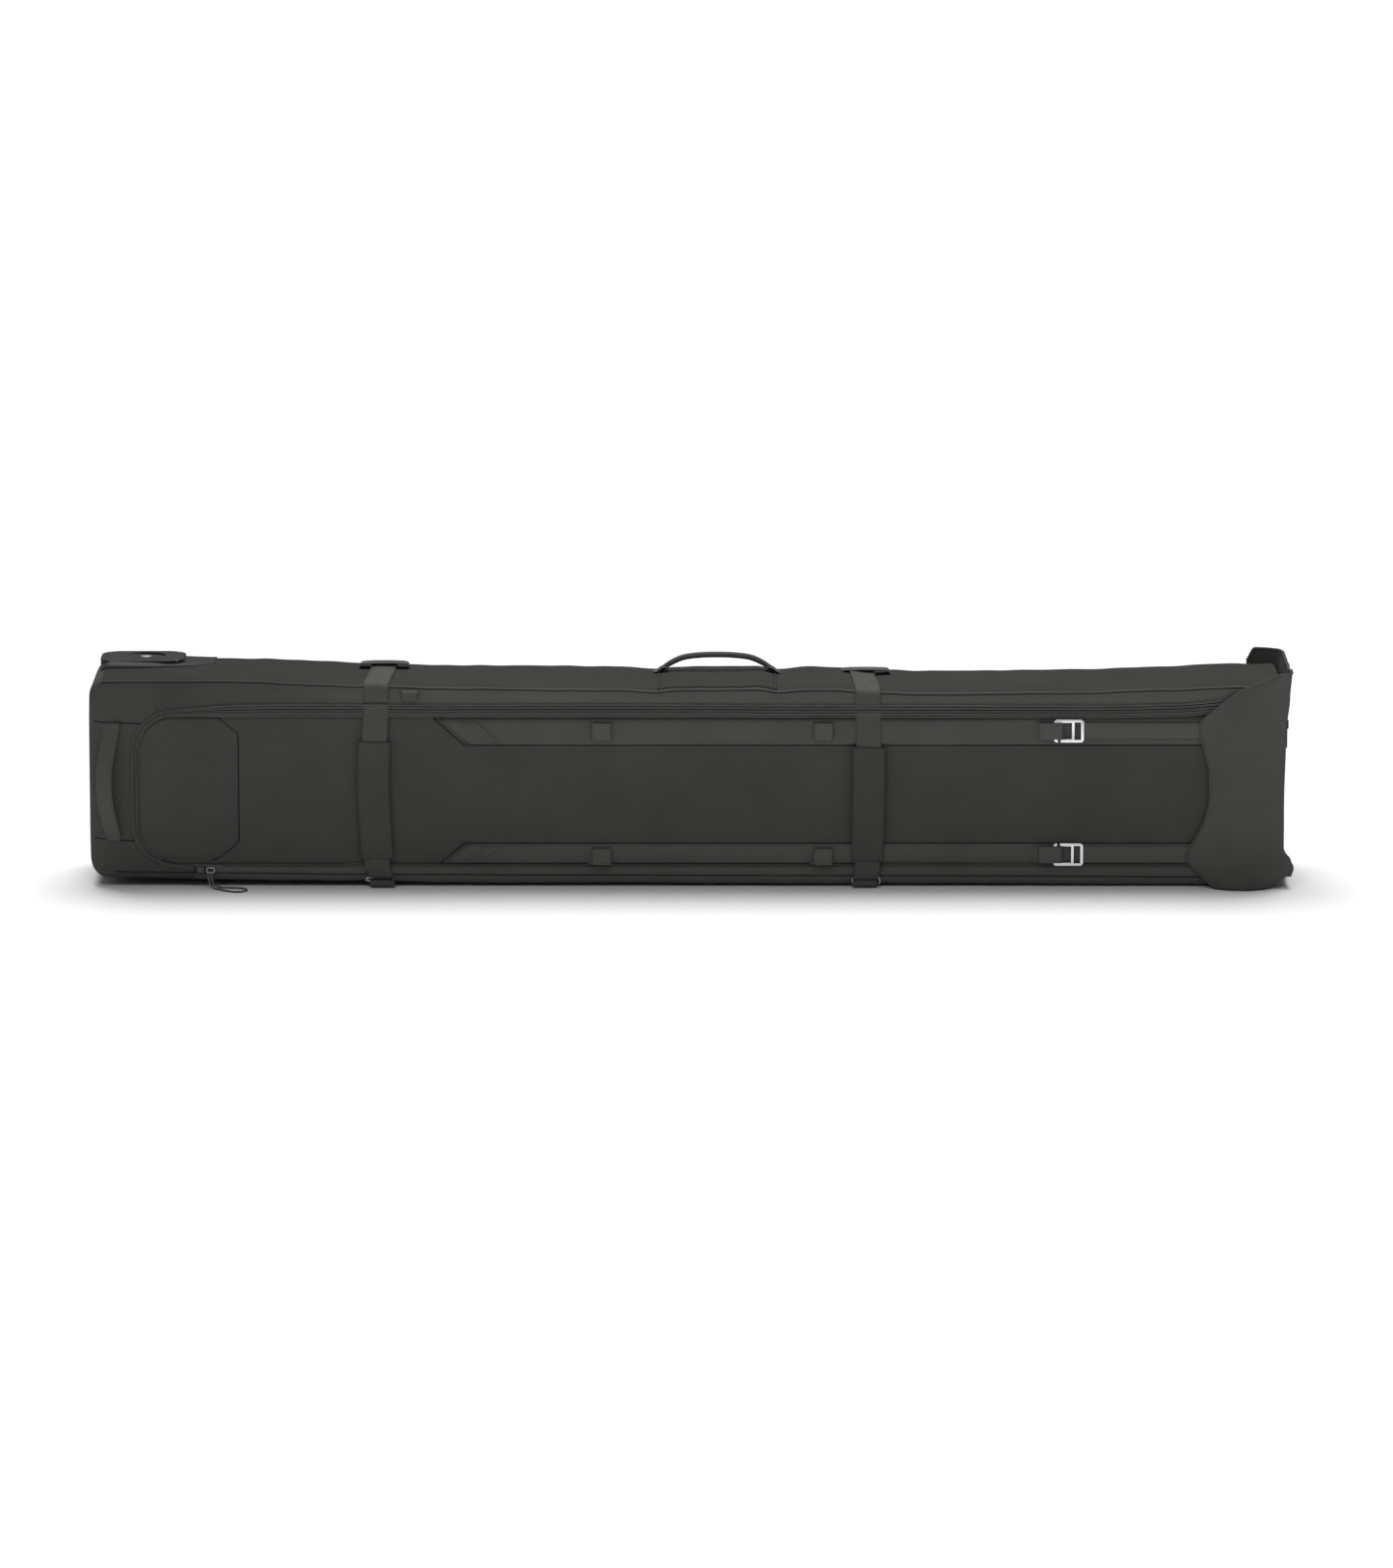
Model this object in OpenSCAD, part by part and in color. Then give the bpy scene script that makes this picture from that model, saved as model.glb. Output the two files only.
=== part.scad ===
// Long padded roller bag for skis: it stands on its lower long side, with the lid facing -Y,
// the wheel end at -X and the fold-over mouth flap at +X. Millimetres, +Z up.

/* [Body] */
// Half of the bag's length
half_len = 900; // [880:10:920]
// Half of the bag's depth, front to back
half_depth = 110; // [108:1:112]
// Thickness of the laminated fabric skin
skin = 3; // [2:0.5:3]
// Thickness of the foam padding
foam = 5; // [3:1:6]
// Rounding of the long edges
edge_r = 22; // [18:1:24]

/* [Lid] */
// Left end of the lid opening
lid_left = -834; // [-836:1:-832]
// Where the lid's free part ends, under the flap straps
lid_right = 515; // [480:5:520]
// Height of the sewn hinge line
hinge_z = 34; // [34:0.5:35]
// Height of the opening's top edge
lid_top = 268; // [264:1:268]
// Corner radius of the opening at the wheel end
lid_r = 62; // [50:1:70]

/* [Straps] */
// Centre of the compression strap near the wheels
strap_a_x = -467; // [-480:1:-450]
// Centre of the compression strap near the mouth
strap_b_x = 275; // [265:1:285]
// Width of the compression webbing
strap_w = 38; // [36:1:40]
// Width of the flap webbing
flap_strap_w = 25; // [23:1:25]
// Height of the upper flap strap
flap_strap_top = 240; // [238:1:241]
// Height of the lower flap strap
flap_strap_low = 51; // [50:1:53]

/* [Wheels] */
// Radius of the wheels
wheel_r = 46; // [44:0.5:46]
// Distance of the wheel axis from the bag's middle, along the length
wheel_x = -822; // [-823:1:-821]
// Distance of the wheel axis from the bag's middle, towards the back
wheel_y = 72; // [70:1:72]
// Width over both wheel housings
housings_w = 325; // [324:1:328]

/* [Hidden] */

$fn = 48;
shell_color = [0.15, 0.15, 0.145];
webbing_color = [0.19, 0.19, 0.18];
metal_color = [0.8, 0.8, 0.82];
plastic_color = [0.17, 0.18, 0.18];
big = 2000;
webbing = 2;              // thickness of the compression webbing
tape = 1;                 // thickness of zip tapes and overlays
zip_gap = 6;              // width between the opening and the lid, filled by the coil
coil_play = 0.4;          // between the two halves of the coil
front = -half_depth;      // outer plane of the front
back = half_depth;        // outer plane of the back
end_cut = half_len - 24;  // the end panels start here
side_y = half_depth - 25; // the side panels reach this far
mid_z = housings_w / 2;   // the two wheels mirror about this height

// Lower and upper outlines of the bag along its length: the wheel end is lifted by its housing
function z_bot(x) = lookup(x, [[-half_len, 13], [-300, 0], [half_len, 0]]);
function z_top(x) = lookup(x, [[-half_len, 312], [-300, 299], [300, 298], [half_len, 306]]);

// A rounded rectangle as a list of points, seven to a corner
function arc_points(c, r, a) = [for (i = [0 : 6]) c + r * [cos(a + 15 * i), sin(a + 15 * i)]];
function rounded(lo, hi, r) = concat(
    arc_points([hi[0] - r, hi[1] - r], r, 0), arc_points([lo[0] + r, hi[1] - r], r, 90),
    arc_points([lo[0] + r, lo[1] + r], r, 180), arc_points([hi[0] - r, lo[1] + r], r, 270));

// One cross-section of the bag, pulled in by the given inset
module slice(x, inset, end_inset) {
    all = inset + end_inset;
    translate([x, 0, 0]) rotate([90, 0, 90]) linear_extrude(0.02, center = true)
        polygon(rounded([front + all, z_bot(x) + all], [back - all, z_top(x) - all],
            max(4, edge_r - inset)));
}

// The bag's whole outer form, pulled in (or, if negative, let out) by the inset
module form(inset) {
    stations = [[-half_len + inset, 12], [-half_len + 18 + inset / 2, 0], [-300, 0], [300, 0],
        [half_len - 10 - inset / 2, 0], [half_len - inset, 7]];
    for (i = [0 : len(stations) - 2]) hull() {
        slice(stations[i][0], inset, stations[i][1]);
        slice(stations[i + 1][0], inset, stations[i + 1][1]);
    }
}

// A layer of the form between two insets
module layer(outside, inside) {
    difference() {
        form(outside);
        form(inside);
    }
}

module block(lo, hi) { translate(lo) cube(hi - lo); }

// A rounded rectangle in two dimensions, from exact circles
module rounded_square(lo, hi, r) {
    translate(lo + [r, 0]) square(hi - lo - [2 * r, 0]);
    translate(lo + [0, r]) square(hi - lo - [0, 2 * r]);
    for (x = [lo[0] + r, hi[0] - r], y = [lo[1] + r, hi[1] - r]) translate([x, y]) circle(r);
}

// An outline drawn in X and Z, made solid between two depths
module upright(y0, y1) { translate([0, y1, 0]) rotate([90, 0, 0]) linear_extrude(y1 - y0) children(); }

// The lid opening's outline, pulled in by d, with square corners at its right end
module lid_outline(d, low, right) {
    r = lid_r - d;
    left = lid_left + d;
    high = lid_top - d;
    translate([left + r, low]) square([right - left - r, high - low]);
    translate([left, low + r]) square([r, high - low - 2 * r]);
    for (z = [low + r, high - r]) translate([left + r, z]) circle(r);
}

// The space that both wheel housings take out of the fabric
module both_sides() {
    children();
    translate([0, 0, housings_w]) mirror([0, 0, 1]) children();
}
module housing_outline(d) {
    translate([wheel_x, wheel_y]) rounded_square([-68 - d, -56 - d], [60 + d, 41 + d], 30);
}
module housing_space() { both_sides() translate([0, 0, 258]) linear_extrude(80) housing_outline(0.2); }

module strap_slab(x, w, low, high) { block([x - w / 2, -big, low], [x + w / 2, big, high]); }

// The strip of webbing let into the bag's underside, so that the bag stands flat
module strap_under(x, w) {
    intersection() {
        layer(0, webbing);
        block([x - w / 2, -side_y + 1, -10], [x + w / 2, side_y - 1, 60]);
    }
}
module both_straps_under() {
    for (x = [strap_a_x, strap_b_x]) strap_under(x, strap_w + 0.1);
}

// ---- Skin and padding of the body ----
module back_panel() color(shell_color) difference() {
    intersection() { layer(0, skin); block([-end_cut, side_y, -10], [end_cut, big, 400]); }
    housing_space();
}
module side_part(outside, inside, low, high) intersection() {
    layer(outside, inside);
    block([-end_cut, -side_y, low], [end_cut, side_y, high]);
}
module upper_side_panel() color(shell_color) difference() {
    side_part(0, skin, 150, 400);
    housing_space();
}
module lower_side_panel() color(shell_color) difference() {
    side_part(0, skin, -10, 150);
    housing_space();
    both_straps_under();
}
module wheel_end_panel() color(shell_color) difference() {
    intersection() { layer(0, skin); block([-big, -big, -10], [-end_cut, big, 400]); }
    housing_space();
}
module mouth_end_panel() color(shell_color)
    intersection() { layer(0, skin); block([end_cut, -big, -10], [big, big, 400]); }
// The fixed border round the lid: part of the front between two corners of a box
module front_border(low, high) color(shell_color) difference() {
    intersection() {
        layer(0, skin);
        block([-end_cut, -big, -10], [end_cut, -side_y, 400]);
        block(low, high);
    }
    upright(-big, -side_y + 1) lid_outline(0, hinge_z, end_cut + 1);
}
border_x = lid_left + lid_r;
module front_border_wheel_end() front_border([-big, -big, -10], [border_x, 0, 400]);
module front_border_sides() front_border([border_x, -big, -10], [big, 0, 400]);
module front_end_panel() color(shell_color)
    block([lid_right, front, hinge_z], [end_cut, front + skin, lid_top]);
module back_foam() color("dimgray") difference() {
    intersection() {
        layer(skin, skin + foam);
        block([-end_cut, side_y, -10], [end_cut, big, 400]);
    }
    housing_space();
}
module upper_side_foam() color("dimgray") difference() {
    side_part(skin, skin + foam, 150, 400);
    housing_space();
}
module lower_side_foam() color("dimgray") difference() {
    side_part(skin, skin + foam, -10, 150);
    housing_space();
}
module frame_sheet() color("black")
    block([-740, back - skin - foam - 1.5, 40], [700, back - skin - foam, 262]);

// ---- Lid ----
module lid_panel() color(shell_color)
    upright(front, front + skin) lid_outline(zip_gap, hinge_z + 0.5, lid_right - 0.5);
module lid_foam() color("dimgray")
    upright(front + skin, front + skin + foam) lid_outline(zip_gap + 3, hinge_z + 3.5, lid_right - 3);
module lid_band(low, high) color(shell_color)
    upright(front - 1.5, front)
        polygon([[-345 - (high - low) * 0.8, high], [lid_right - 0.5, high], [lid_right - 0.5, low],
            [-345, low]]);
module lid_band_upper() lid_band(219, 252);
module lid_band_lower() color(shell_color) translate([0, 0, 105]) mirror([0, 0, 1]) lid_band(38, 67);
module lid_end_patch() color(shell_color) upright(front - tape, front) intersection() {
    lid_outline(zip_gap + 10, hinge_z + 4, 0);
    polygon([[-900, 300], [-730, 300], [-674, 240], [-674, 66], [-730, 10], [-900, 10]]);
}
// A webbing loop: a flat tube whose opening runs along Z
module webbing_loop(x, z, w, h, depth, wall, back_y) {
    difference() {
        block([x - w / 2, back_y - depth, z - h / 2], [x + w / 2, back_y, z + h / 2]);
        block([x - w / 2 + wall, back_y - depth + wall, z - h], [x + w / 2 - wall, back_y - wall, z + h]);
    }
}
module gear_loops() color(webbing_color)
    for (x = [-127, 207], z = [239, 53]) webbing_loop(x, z, 30, 25, 9.4, 1.6, front - 1.5);

// ---- Zip ----
// One half of the zip along the opening: a tape and half of the coil
module zip_half(tape_out, tape_in, coil_out, coil_in, low, right) color(webbing_color) intersection() {
    union() {
        upright(front - tape, front) difference() {
            lid_outline(tape_out, low, right);
            lid_outline(tape_in, low - 5, right + 5);
        }
        upright(front - 2.5, front + 0.5) difference() {
            lid_outline(coil_out, low, right);
            lid_outline(coil_in, low - 5, right + 5);
        }
    }
    block([-big, -big, low], [right, big, 400]);
}
module zip_body_side() {
    zip_half(-9, 0, 0, (zip_gap - coil_play) / 2, hinge_z + 0.1, lid_right);
    color(webbing_color) block([lid_right, front - 2, lid_top - 15], [811, front, lid_top + 9]);
    color(webbing_color) block([-770, front - 1.8, 24], [-715, front, 32.3]);
}
module zip_lid_side() zip_half(zip_gap, zip_gap + 9, (zip_gap + coil_play) / 2, zip_gap,
    hinge_z + 0.5, lid_right - 0.5);
module zip_slider() color(plastic_color) difference() {
    block([-742, front - 5.6, 21.2], [-724, front - 0.3, 31]);
    block([-750, front - 2.2, 23.6], [-700, front + 1, 32]);
}
module zip_ring() color(metal_color) upright(front - 6.1, front - 4.1) difference() {
    rounded_square([-723.9, 22], [-711, 31], 3);
    rounded_square([-722.3, 23.6], [-712.6, 29.4], 1.8);
}
module zip_garage() color(webbing_color) {
    block([-738, front - 8, 23], [-727, front - 6.8, 32.5]);
    block([-738, front - 8, 31.4], [-727, front - 1.8, 32.5]);
}

// ---- Pull cord: it hangs from the ring, lies on the ground in a loop and comes back ----
cord_d = 3;
cord_route = [[-721, -117, 20], [-720, -119, 13], [-717, -123, 6], [-711, -130, 2],
    [-702, -140, 1.7], [-692, -150, 1.7], [-680, -158, 1.7], [-668, -156, 1.7], [-662, -146, 1.7],
    [-664, -134, 1.7], [-674, -127, 1.7], [-688, -125, 1.7], [-701, -124, 2], [-711, -121, 5],
    [-715, -118, 12], [-716, -117, 20]];
cord_sides = 8;
cord_steps = 3;
// A smooth curve through the route's points
function spline(p, i, t) = let (a = p[max(i - 1, 0)], b = p[i], c = p[min(i + 1, len(p) - 1)],
    d = p[min(i + 2, len(p) - 1)])
    0.5 * (2 * b + (c - a) * t + (2 * a - 5 * b + 4 * c - d) * t * t
        + (3 * b - a - 3 * c + d) * t * t * t);
cord_line = concat([for (i = [0 : len(cord_route) - 2], k = [0 : cord_steps - 1])
    spline(cord_route, i, k / cord_steps)], [cord_route[len(cord_route) - 1]]);
function unit(v) = v / norm(v);
function run_at(i) = unit(cord_line[min(i + 1, len(cord_line) - 1)] - cord_line[max(i - 1, 0)]);
function side_of(i) = let (t = run_at(i)) unit(cross(t, abs(t[2]) > 0.8 ? [1, 0, 0] : [0, 0, 1]));
function ring_at(i, s) = let (v = cross(run_at(i), s))
    [for (k = [0 : cord_sides - 1]) cord_line[i] + cord_d / 2 * (cos(360 * k / cord_sides) * s
        + sin(360 * k / cord_sides) * v)];
// The side direction is carried along the line, so that the tube never twists
function carried(i, prev) = let (t = run_at(i)) unit(prev - (prev * t) * t);
function frames(i, prev, out) = i == len(cord_line) ? out
    : let (u = carried(i, prev)) frames(i + 1, u, concat(out, [u]));
module pull_cord() color(webbing_color) {
    n = len(cord_line);
    sides = frames(0, side_of(0), []);
    points = [for (i = [0 : n - 1]) each ring_at(i, sides[i])];
    walls = [for (i = [0 : n - 2], k = [0 : cord_sides - 1]) let (m = (k + 1) % cord_sides)
        each [[i * cord_sides + k, (i + 1) * cord_sides + m, i * cord_sides + m],
            [i * cord_sides + k, (i + 1) * cord_sides + k, (i + 1) * cord_sides + m]]];
    first = [[for (k = [0 : cord_sides - 1]) k]];
    last = [[for (k = [cord_sides - 1 : -1 : 0]) (n - 1) * cord_sides + k]];
    polyhedron(points, concat(walls, first, last), convexity = 6);
}

// ---- Mouth end: cover, flap, flap straps and hooks ----
module end_cover_wrap() color(shell_color) {
    block([half_len + 1, front + 1, 1], [half_len + 3.5, back + 2.7, 330]);
    block([845, back + 0.2, 1], [half_len + 1, back + 2.7, 324]);
}
module end_zip_slider() color(plastic_color) difference() {
    block([half_len + 3.5, -72, 236], [half_len + 10, -60, 248]);
    translate([half_len + 7.5, -66, 240]) rotate([90, 0, 0]) cylinder(h = 20, r = 1.56, center = true);
    block([half_len + 4.5, -69, 230], [half_len + 12, -63, 244.5]);
}
module end_zip_pull() color(webbing_color) {
    translate([half_len + 7.5, -66, 240]) rotate([90, 0, 0]) cylinder(h = 11, r = 1.5, center = true);
    block([half_len + 6.5, -68.5, 206], [half_len + 8.5, -63.5, 240]);
}
flap_y = front - 6.4;
flap_edge = [[900, 330], [871, 316], [835, 301], [807, 281], [774, 253], [777, 223], [784, 203],
    [790, 180], [790, 124], [782, 98], [771, 78], [761, 65], [755, 41], [788, 8], [804, 2], [900, 2]];
module flap_panel() color(shell_color) upright(flap_y, flap_y + 2.5) polygon(flap_edge);
module flap_binding() color(webbing_color) upright(flap_y - 0.8, flap_y) difference() {
    polygon(flap_edge);
    translate([7, 0]) polygon(flap_edge);
    translate([880, -big]) square(2 * big);
}
hook_x = 597;              // axis of the hooks' sewn bars
hook_y = front - 6.5;      // and its depth
module flap_strap(z, end_x) color(webbing_color) difference() {
    union() {
        block([hook_x + 2, flap_y + 2.5, z - flap_strap_w / 2], [end_x, flap_y + 4.1, z + flap_strap_w / 2]);
        translate([hook_x, hook_y, z]) cylinder(h = flap_strap_w, r = 4.6, center = true);
    }
    translate([hook_x, hook_y, z]) cylinder(h = 2 * flap_strap_w, r = 3, center = true);
}
module flap_strap_upper() flap_strap(flap_strap_top, 810);
module flap_strap_lower() flap_strap(flap_strap_low, 800);
// A flat hook: the sewn bar at the right, a middle bar, and an open nose at the left
module hook(z, gate) color(metal_color) upright(hook_y - 1.2, hook_y + 1.2) difference() {
    rounded_square([hook_x - 43, z - 17.5], [hook_x + 2.2, z + 17.5], 5);
    translate([hook_x - 12, z - 13.2]) square([9.8, 26.4]);
    translate([hook_x - 38, z - 12.5]) square([22, 25]);
    translate([hook_x - 35, z + gate * 15]) square([4, 12], center = true);
}
module hook_upper() hook(flap_strap_top, -1);
module hook_lower() hook(flap_strap_low, 1);
module engaged_loops() color(webbing_color)
    for (z = [flap_strap_top, flap_strap_low]) webbing_loop(547, z, 34, 23, 9.4, 1.6, front - 1.5);
module front_end_bands() color(shell_color) {
    block([lid_right, front - 1.5, 219], [752, front, 252]);
    block([lid_right, front - 1.5, 38], [752, front, 67]);
}

// ---- Handles ----
grip_x = 47;
grip_y = 60;
grip_z = 304.5;   // height of the grip's swivel line
arch_r = 145;
arch_half = 29;
module top_handle_base() color(shell_color) intersection() {
    layer(-1.2, 0);
    block([grip_x - 87, -side_y, 200], [grip_x + 87, side_y, 400]);
}
module top_handle_tabs() color(webbing_color) difference() {
    for (s = [-1, 1]) translate([grip_x + s * 78.5, grip_y, 304]) cube([11, 30, 8], center = true);
    translate([grip_x, grip_y, grip_z]) rotate([0, 90, 0]) cylinder(h = 200, r = 2.56, center = true);
}
module top_handle_grip() color(webbing_color) {
    foot_x = arch_r * sin(arch_half);
    translate([grip_x, grip_y, grip_z + 0.5 - arch_r * cos(arch_half)]) rotate([90, 0, 0])
        rotate([0, 0, 90 - arch_half]) rotate_extrude(angle = 2 * arch_half) translate([arch_r, 0])
            circle(3.8);
    for (s = [-1, 1]) translate([grip_x + s * (foot_x + 4), grip_y, grip_z]) rotate([0, 90, 0])
        cylinder(h = 15, r = 2.5, center = true);
}
module end_handle() color(webbing_color) {
    reach = 75;
    rise = 18;
    r = (reach * reach + rise * rise) / (2 * rise);
    intersection() {
        translate([-865, front - rise + r, 162]) rotate([0, 90, 0]) difference() {
            cylinder(h = 26, r = r, center = true, $fn = 96);
            cylinder(h = 27, r = r - 3, center = true, $fn = 96);
        }
        block([-900, front - 40, 162 - reach], [-840, front, 162 + reach]);
    }
    for (z = [72, 239]) block([-878, front - 3, z], [-852, front, z + 13]);
}
module corner_tab() color(webbing_color) block([-428, front - 3, lid_top + 9.1], [-404, front, 288]);

// ---- Compression straps ----
module strap_wrap(x) color(webbing_color) union() {
    strap_under(x, strap_w);
    difference() {
        intersection() {
            layer(-webbing, 0);
            strap_slab(x, strap_w, 1, 400);
        }
        block([x - 50, -big, -10], [x + 50, -side_y + 4, max(z_top(x) - edge_r - 4, lid_top + 9.1)]);
    }
}
module strap_a_wrap() strap_wrap(strap_a_x);
module strap_b_wrap() strap_wrap(strap_b_x);
// A bridge of webbing over each strap, at the back edge of the upper side
module strap_keepers() color(webbing_color) for (x = [strap_a_x, strap_b_x + 7]) difference() {
    block([x - 38, 52, z_top(x) - 6], [x + 38, 80, z_top(x) + 11]);
    block([x - 36, 40, z_top(x) - 6], [x + 36, 90, z_top(x) + 9]);
    form(0);
}
strap_y = front - 5.2;   // outer plane of the loose front run of each strap
function strap_high(x) = z_top(x) - edge_r - 6;
module strap_front(x) color(webbing_color)
    block([x - strap_w / 2, strap_y, 32], [x + strap_w / 2, strap_y + webbing, strap_high(x)]);
module strap_sleeve(x) color(webbing_color) difference() {
    block([x - 24, strap_y - 1.6, 45], [x + 24, strap_y + webbing + 0.2, 208]);
    block([x - strap_w / 2 - 0.1, strap_y - 0.1, 40], [x + strap_w / 2 + 0.1, strap_y + webbing + 1, 210]);
}
module strap_hook(x) color(metal_color) upright(strap_y - 1.2, strap_y + 1.2) difference() {
    rounded_square([x - 23, 11], [x + 23, 32], 3);
    translate([x - 20, 16]) square([40, 11]);
}
module strap_anchors() color(webbing_color) for (x = [strap_a_x, strap_b_x]) difference() {
    block([x - strap_w / 2, front - 10, 8], [x + strap_w / 2, front - 0.4, 20]);
    block([x - 60, front - 8.4, 10], [x + 60, front - 2, 18]);
}
module strap_a_front() strap_front(strap_a_x);
module strap_b_front() strap_front(strap_b_x);
module strap_a_sleeve() strap_sleeve(strap_a_x);
module strap_b_sleeve() strap_sleeve(strap_b_x);
module strap_a_hook() strap_hook(strap_a_x);
module strap_b_hook() strap_hook(strap_b_x);

// ---- Wheels: each is drawn at the upper side and mirrored for the lower one ----
well_low = 282;    // the wheel turns between these two heights
well_high = 312;
screw_places = [[-878, 100], [-774, 100], [-774, 27]];
module lower() { translate([0, 0, housings_w]) mirror([0, 0, 1]) children(); }
module housing() color(plastic_color) difference() {
    translate([0, 0, 265]) linear_extrude(housings_w - 265) housing_outline(0);
    translate([wheel_x, wheel_y, well_low]) cylinder(h = well_high - well_low, r = wheel_r + 3);
    block([wheel_x - wheel_r - 3, wheel_y, well_low], [wheel_x + wheel_r + 3, big, well_high]);
    translate([wheel_x, wheel_y, 200]) cylinder(h = 200, r = 4);
    translate([wheel_x, wheel_y, housings_w - 4]) cylinder(h = 10, r = 29);
    for (p = screw_places) {
        translate([p[0], p[1], 290]) cylinder(h = 50, r = 1.6);
        translate([p[0], p[1], housings_w - 2]) cylinder(h = 10, r = 4);
    }
}
module axle() color(metal_color) {
    translate([wheel_x, wheel_y, 258]) cylinder(h = housings_w - 4 - 258, r = 3.95);
    translate([wheel_x, wheel_y, housings_w - 4]) cylinder(h = 3, r = 8);
}
module fasteners() color(metal_color) {
    for (p = screw_places) {
        translate([p[0], p[1], 300]) cylinder(h = housings_w - 302, r = 1.5);
        translate([p[0], p[1], housings_w - 2]) cylinder(h = 1.5, r = 3.8);
    }
    translate([wheel_x, wheel_y, 259]) difference() {
        cylinder(h = 6, r = 7.5, $fn = 6);
        translate([0, 0, -1]) cylinder(h = 8, r = 4, $fn = 48);
    }
}
wheel_low = 284;
wheel_w = 26;
module tyre() color("black") translate([wheel_x, wheel_y, wheel_low]) rotate_extrude($fn = 96) union() {
    translate([34, 0]) square([wheel_r - 38, wheel_w]);
    translate([wheel_r - 4, 4]) square([4, wheel_w - 8]);
    for (z = [4, wheel_w - 4]) translate([wheel_r - 4, z]) circle(4);
}
module hub() color(plastic_color) translate([wheel_x, wheel_y, wheel_low]) difference() {
    rotate_extrude($fn = 96) union() {
        translate([9, 0]) square([9, wheel_w]);
        translate([9, 9]) square([25, wheel_w - 18]);
        translate([29, 0]) square([5, wheel_w]);
    }
    for (z = [-1, wheel_w - 7.5]) translate([0, 0, z]) cylinder(h = 8.5, r = 11);
    for (a = [0 : 60 : 300]) rotate([0, 0, a]) translate([23.5, 0, -1]) cylinder(h = 30, r = 4);
}
module bearings() color(metal_color) for (z = [0.5, wheel_w - 7.5])
    translate([wheel_x, wheel_y, wheel_low + z]) difference() {
        cylinder(h = 7, r = 11);
        translate([0, 0, -1]) cylinder(h = 9, r = 4);
    }
module wheel_housing_upper() housing();
module wheel_housing_lower() lower() housing();
module axles() both_sides() axle();
module housing_fasteners() {
    fasteners();
    lower() fasteners();
}
module tyre_upper() tyre();
module tyre_lower() lower() tyre();
module hub_upper() hub();
module hub_lower() lower() hub();
module bearings_upper() bearings();
module bearings_lower() lower() bearings();

back_panel();
upper_side_panel();
lower_side_panel();
wheel_end_panel();
mouth_end_panel();
front_border_sides();
front_border_wheel_end();
front_end_panel();
back_foam();
upper_side_foam();
lower_side_foam();
frame_sheet();
zip_body_side();
zip_garage();
front_end_bands();
engaged_loops();
end_cover_wrap();
end_zip_slider();
end_zip_pull();
top_handle_base();
top_handle_tabs();
top_handle_grip();
end_handle();
corner_tab();
strap_a_wrap();
strap_b_wrap();
strap_keepers();
strap_anchors();
strap_a_front();
strap_a_sleeve();
strap_a_hook();
strap_b_front();
strap_b_sleeve();
strap_b_hook();
wheel_housing_upper();
wheel_housing_lower();
axles();
housing_fasteners();
tyre_upper();
hub_upper();
bearings_upper();
tyre_lower();
hub_lower();
bearings_lower();
lid_panel();
lid_foam();
lid_band_upper();
lid_band_lower();
lid_end_patch();
zip_lid_side();
gear_loops();
flap_panel();
flap_binding();
flap_strap_upper();
flap_strap_lower();
hook_upper();
hook_lower();
zip_slider();
zip_ring();
pull_cord();
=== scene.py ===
"""Wheeled ski bag: the looks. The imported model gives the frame; every length here is in metres."""
import math

import bmesh
import bpy
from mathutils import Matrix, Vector, noise


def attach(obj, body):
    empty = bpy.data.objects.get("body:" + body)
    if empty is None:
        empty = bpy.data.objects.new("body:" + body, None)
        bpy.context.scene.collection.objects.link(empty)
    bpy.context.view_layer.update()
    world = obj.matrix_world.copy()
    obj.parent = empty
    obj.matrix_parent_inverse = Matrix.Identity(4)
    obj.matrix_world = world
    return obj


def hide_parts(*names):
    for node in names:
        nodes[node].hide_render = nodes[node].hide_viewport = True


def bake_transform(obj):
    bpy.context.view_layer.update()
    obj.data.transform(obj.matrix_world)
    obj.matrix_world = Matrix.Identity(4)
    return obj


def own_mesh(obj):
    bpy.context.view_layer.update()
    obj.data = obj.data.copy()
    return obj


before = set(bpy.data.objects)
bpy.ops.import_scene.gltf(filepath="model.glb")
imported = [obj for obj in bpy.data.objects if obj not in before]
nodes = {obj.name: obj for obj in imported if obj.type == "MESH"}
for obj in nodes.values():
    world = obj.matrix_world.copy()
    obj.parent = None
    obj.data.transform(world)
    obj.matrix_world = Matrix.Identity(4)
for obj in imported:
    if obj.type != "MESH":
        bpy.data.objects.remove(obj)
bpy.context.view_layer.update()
MM = 0.001

# ---- camera, floor and light
AIM = Vector((0.016, -0.110, 0.1579))     # middle of the picture, on the bag's front
ELEVATION = math.radians(10)
DISTANCE = 14.0
VIEW_WIDTH = 2.0996                      # what the picture's width takes in, at the aim point


def make_camera():
    data = bpy.data.cameras.new("camera")
    data.sensor_fit = "HORIZONTAL"
    data.sensor_width = 36
    data.lens = 36 * DISTANCE / VIEW_WIDTH
    cam = bpy.data.objects.new("camera", data)
    cam.location = AIM + DISTANCE * Vector((0, -math.cos(ELEVATION), math.sin(ELEVATION)))
    cam.rotation_euler = (math.radians(90) - ELEVATION, 0, 0)
    bpy.context.scene.collection.objects.link(cam)
    bpy.context.scene.camera = cam


def area_light(name, place, target, size, power):
    data = bpy.data.lights.new(name, "AREA")
    data.shape = "RECTANGLE"
    data.size, data.size_y = size
    data.energy = power
    lamp = bpy.data.objects.new(name, data)
    lamp.location = place
    lamp.rotation_euler = (Vector(target) - Vector(place)).to_track_quat("-Z", "Y").to_euler()
    bpy.context.scene.collection.objects.link(lamp)


make_camera()

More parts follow.
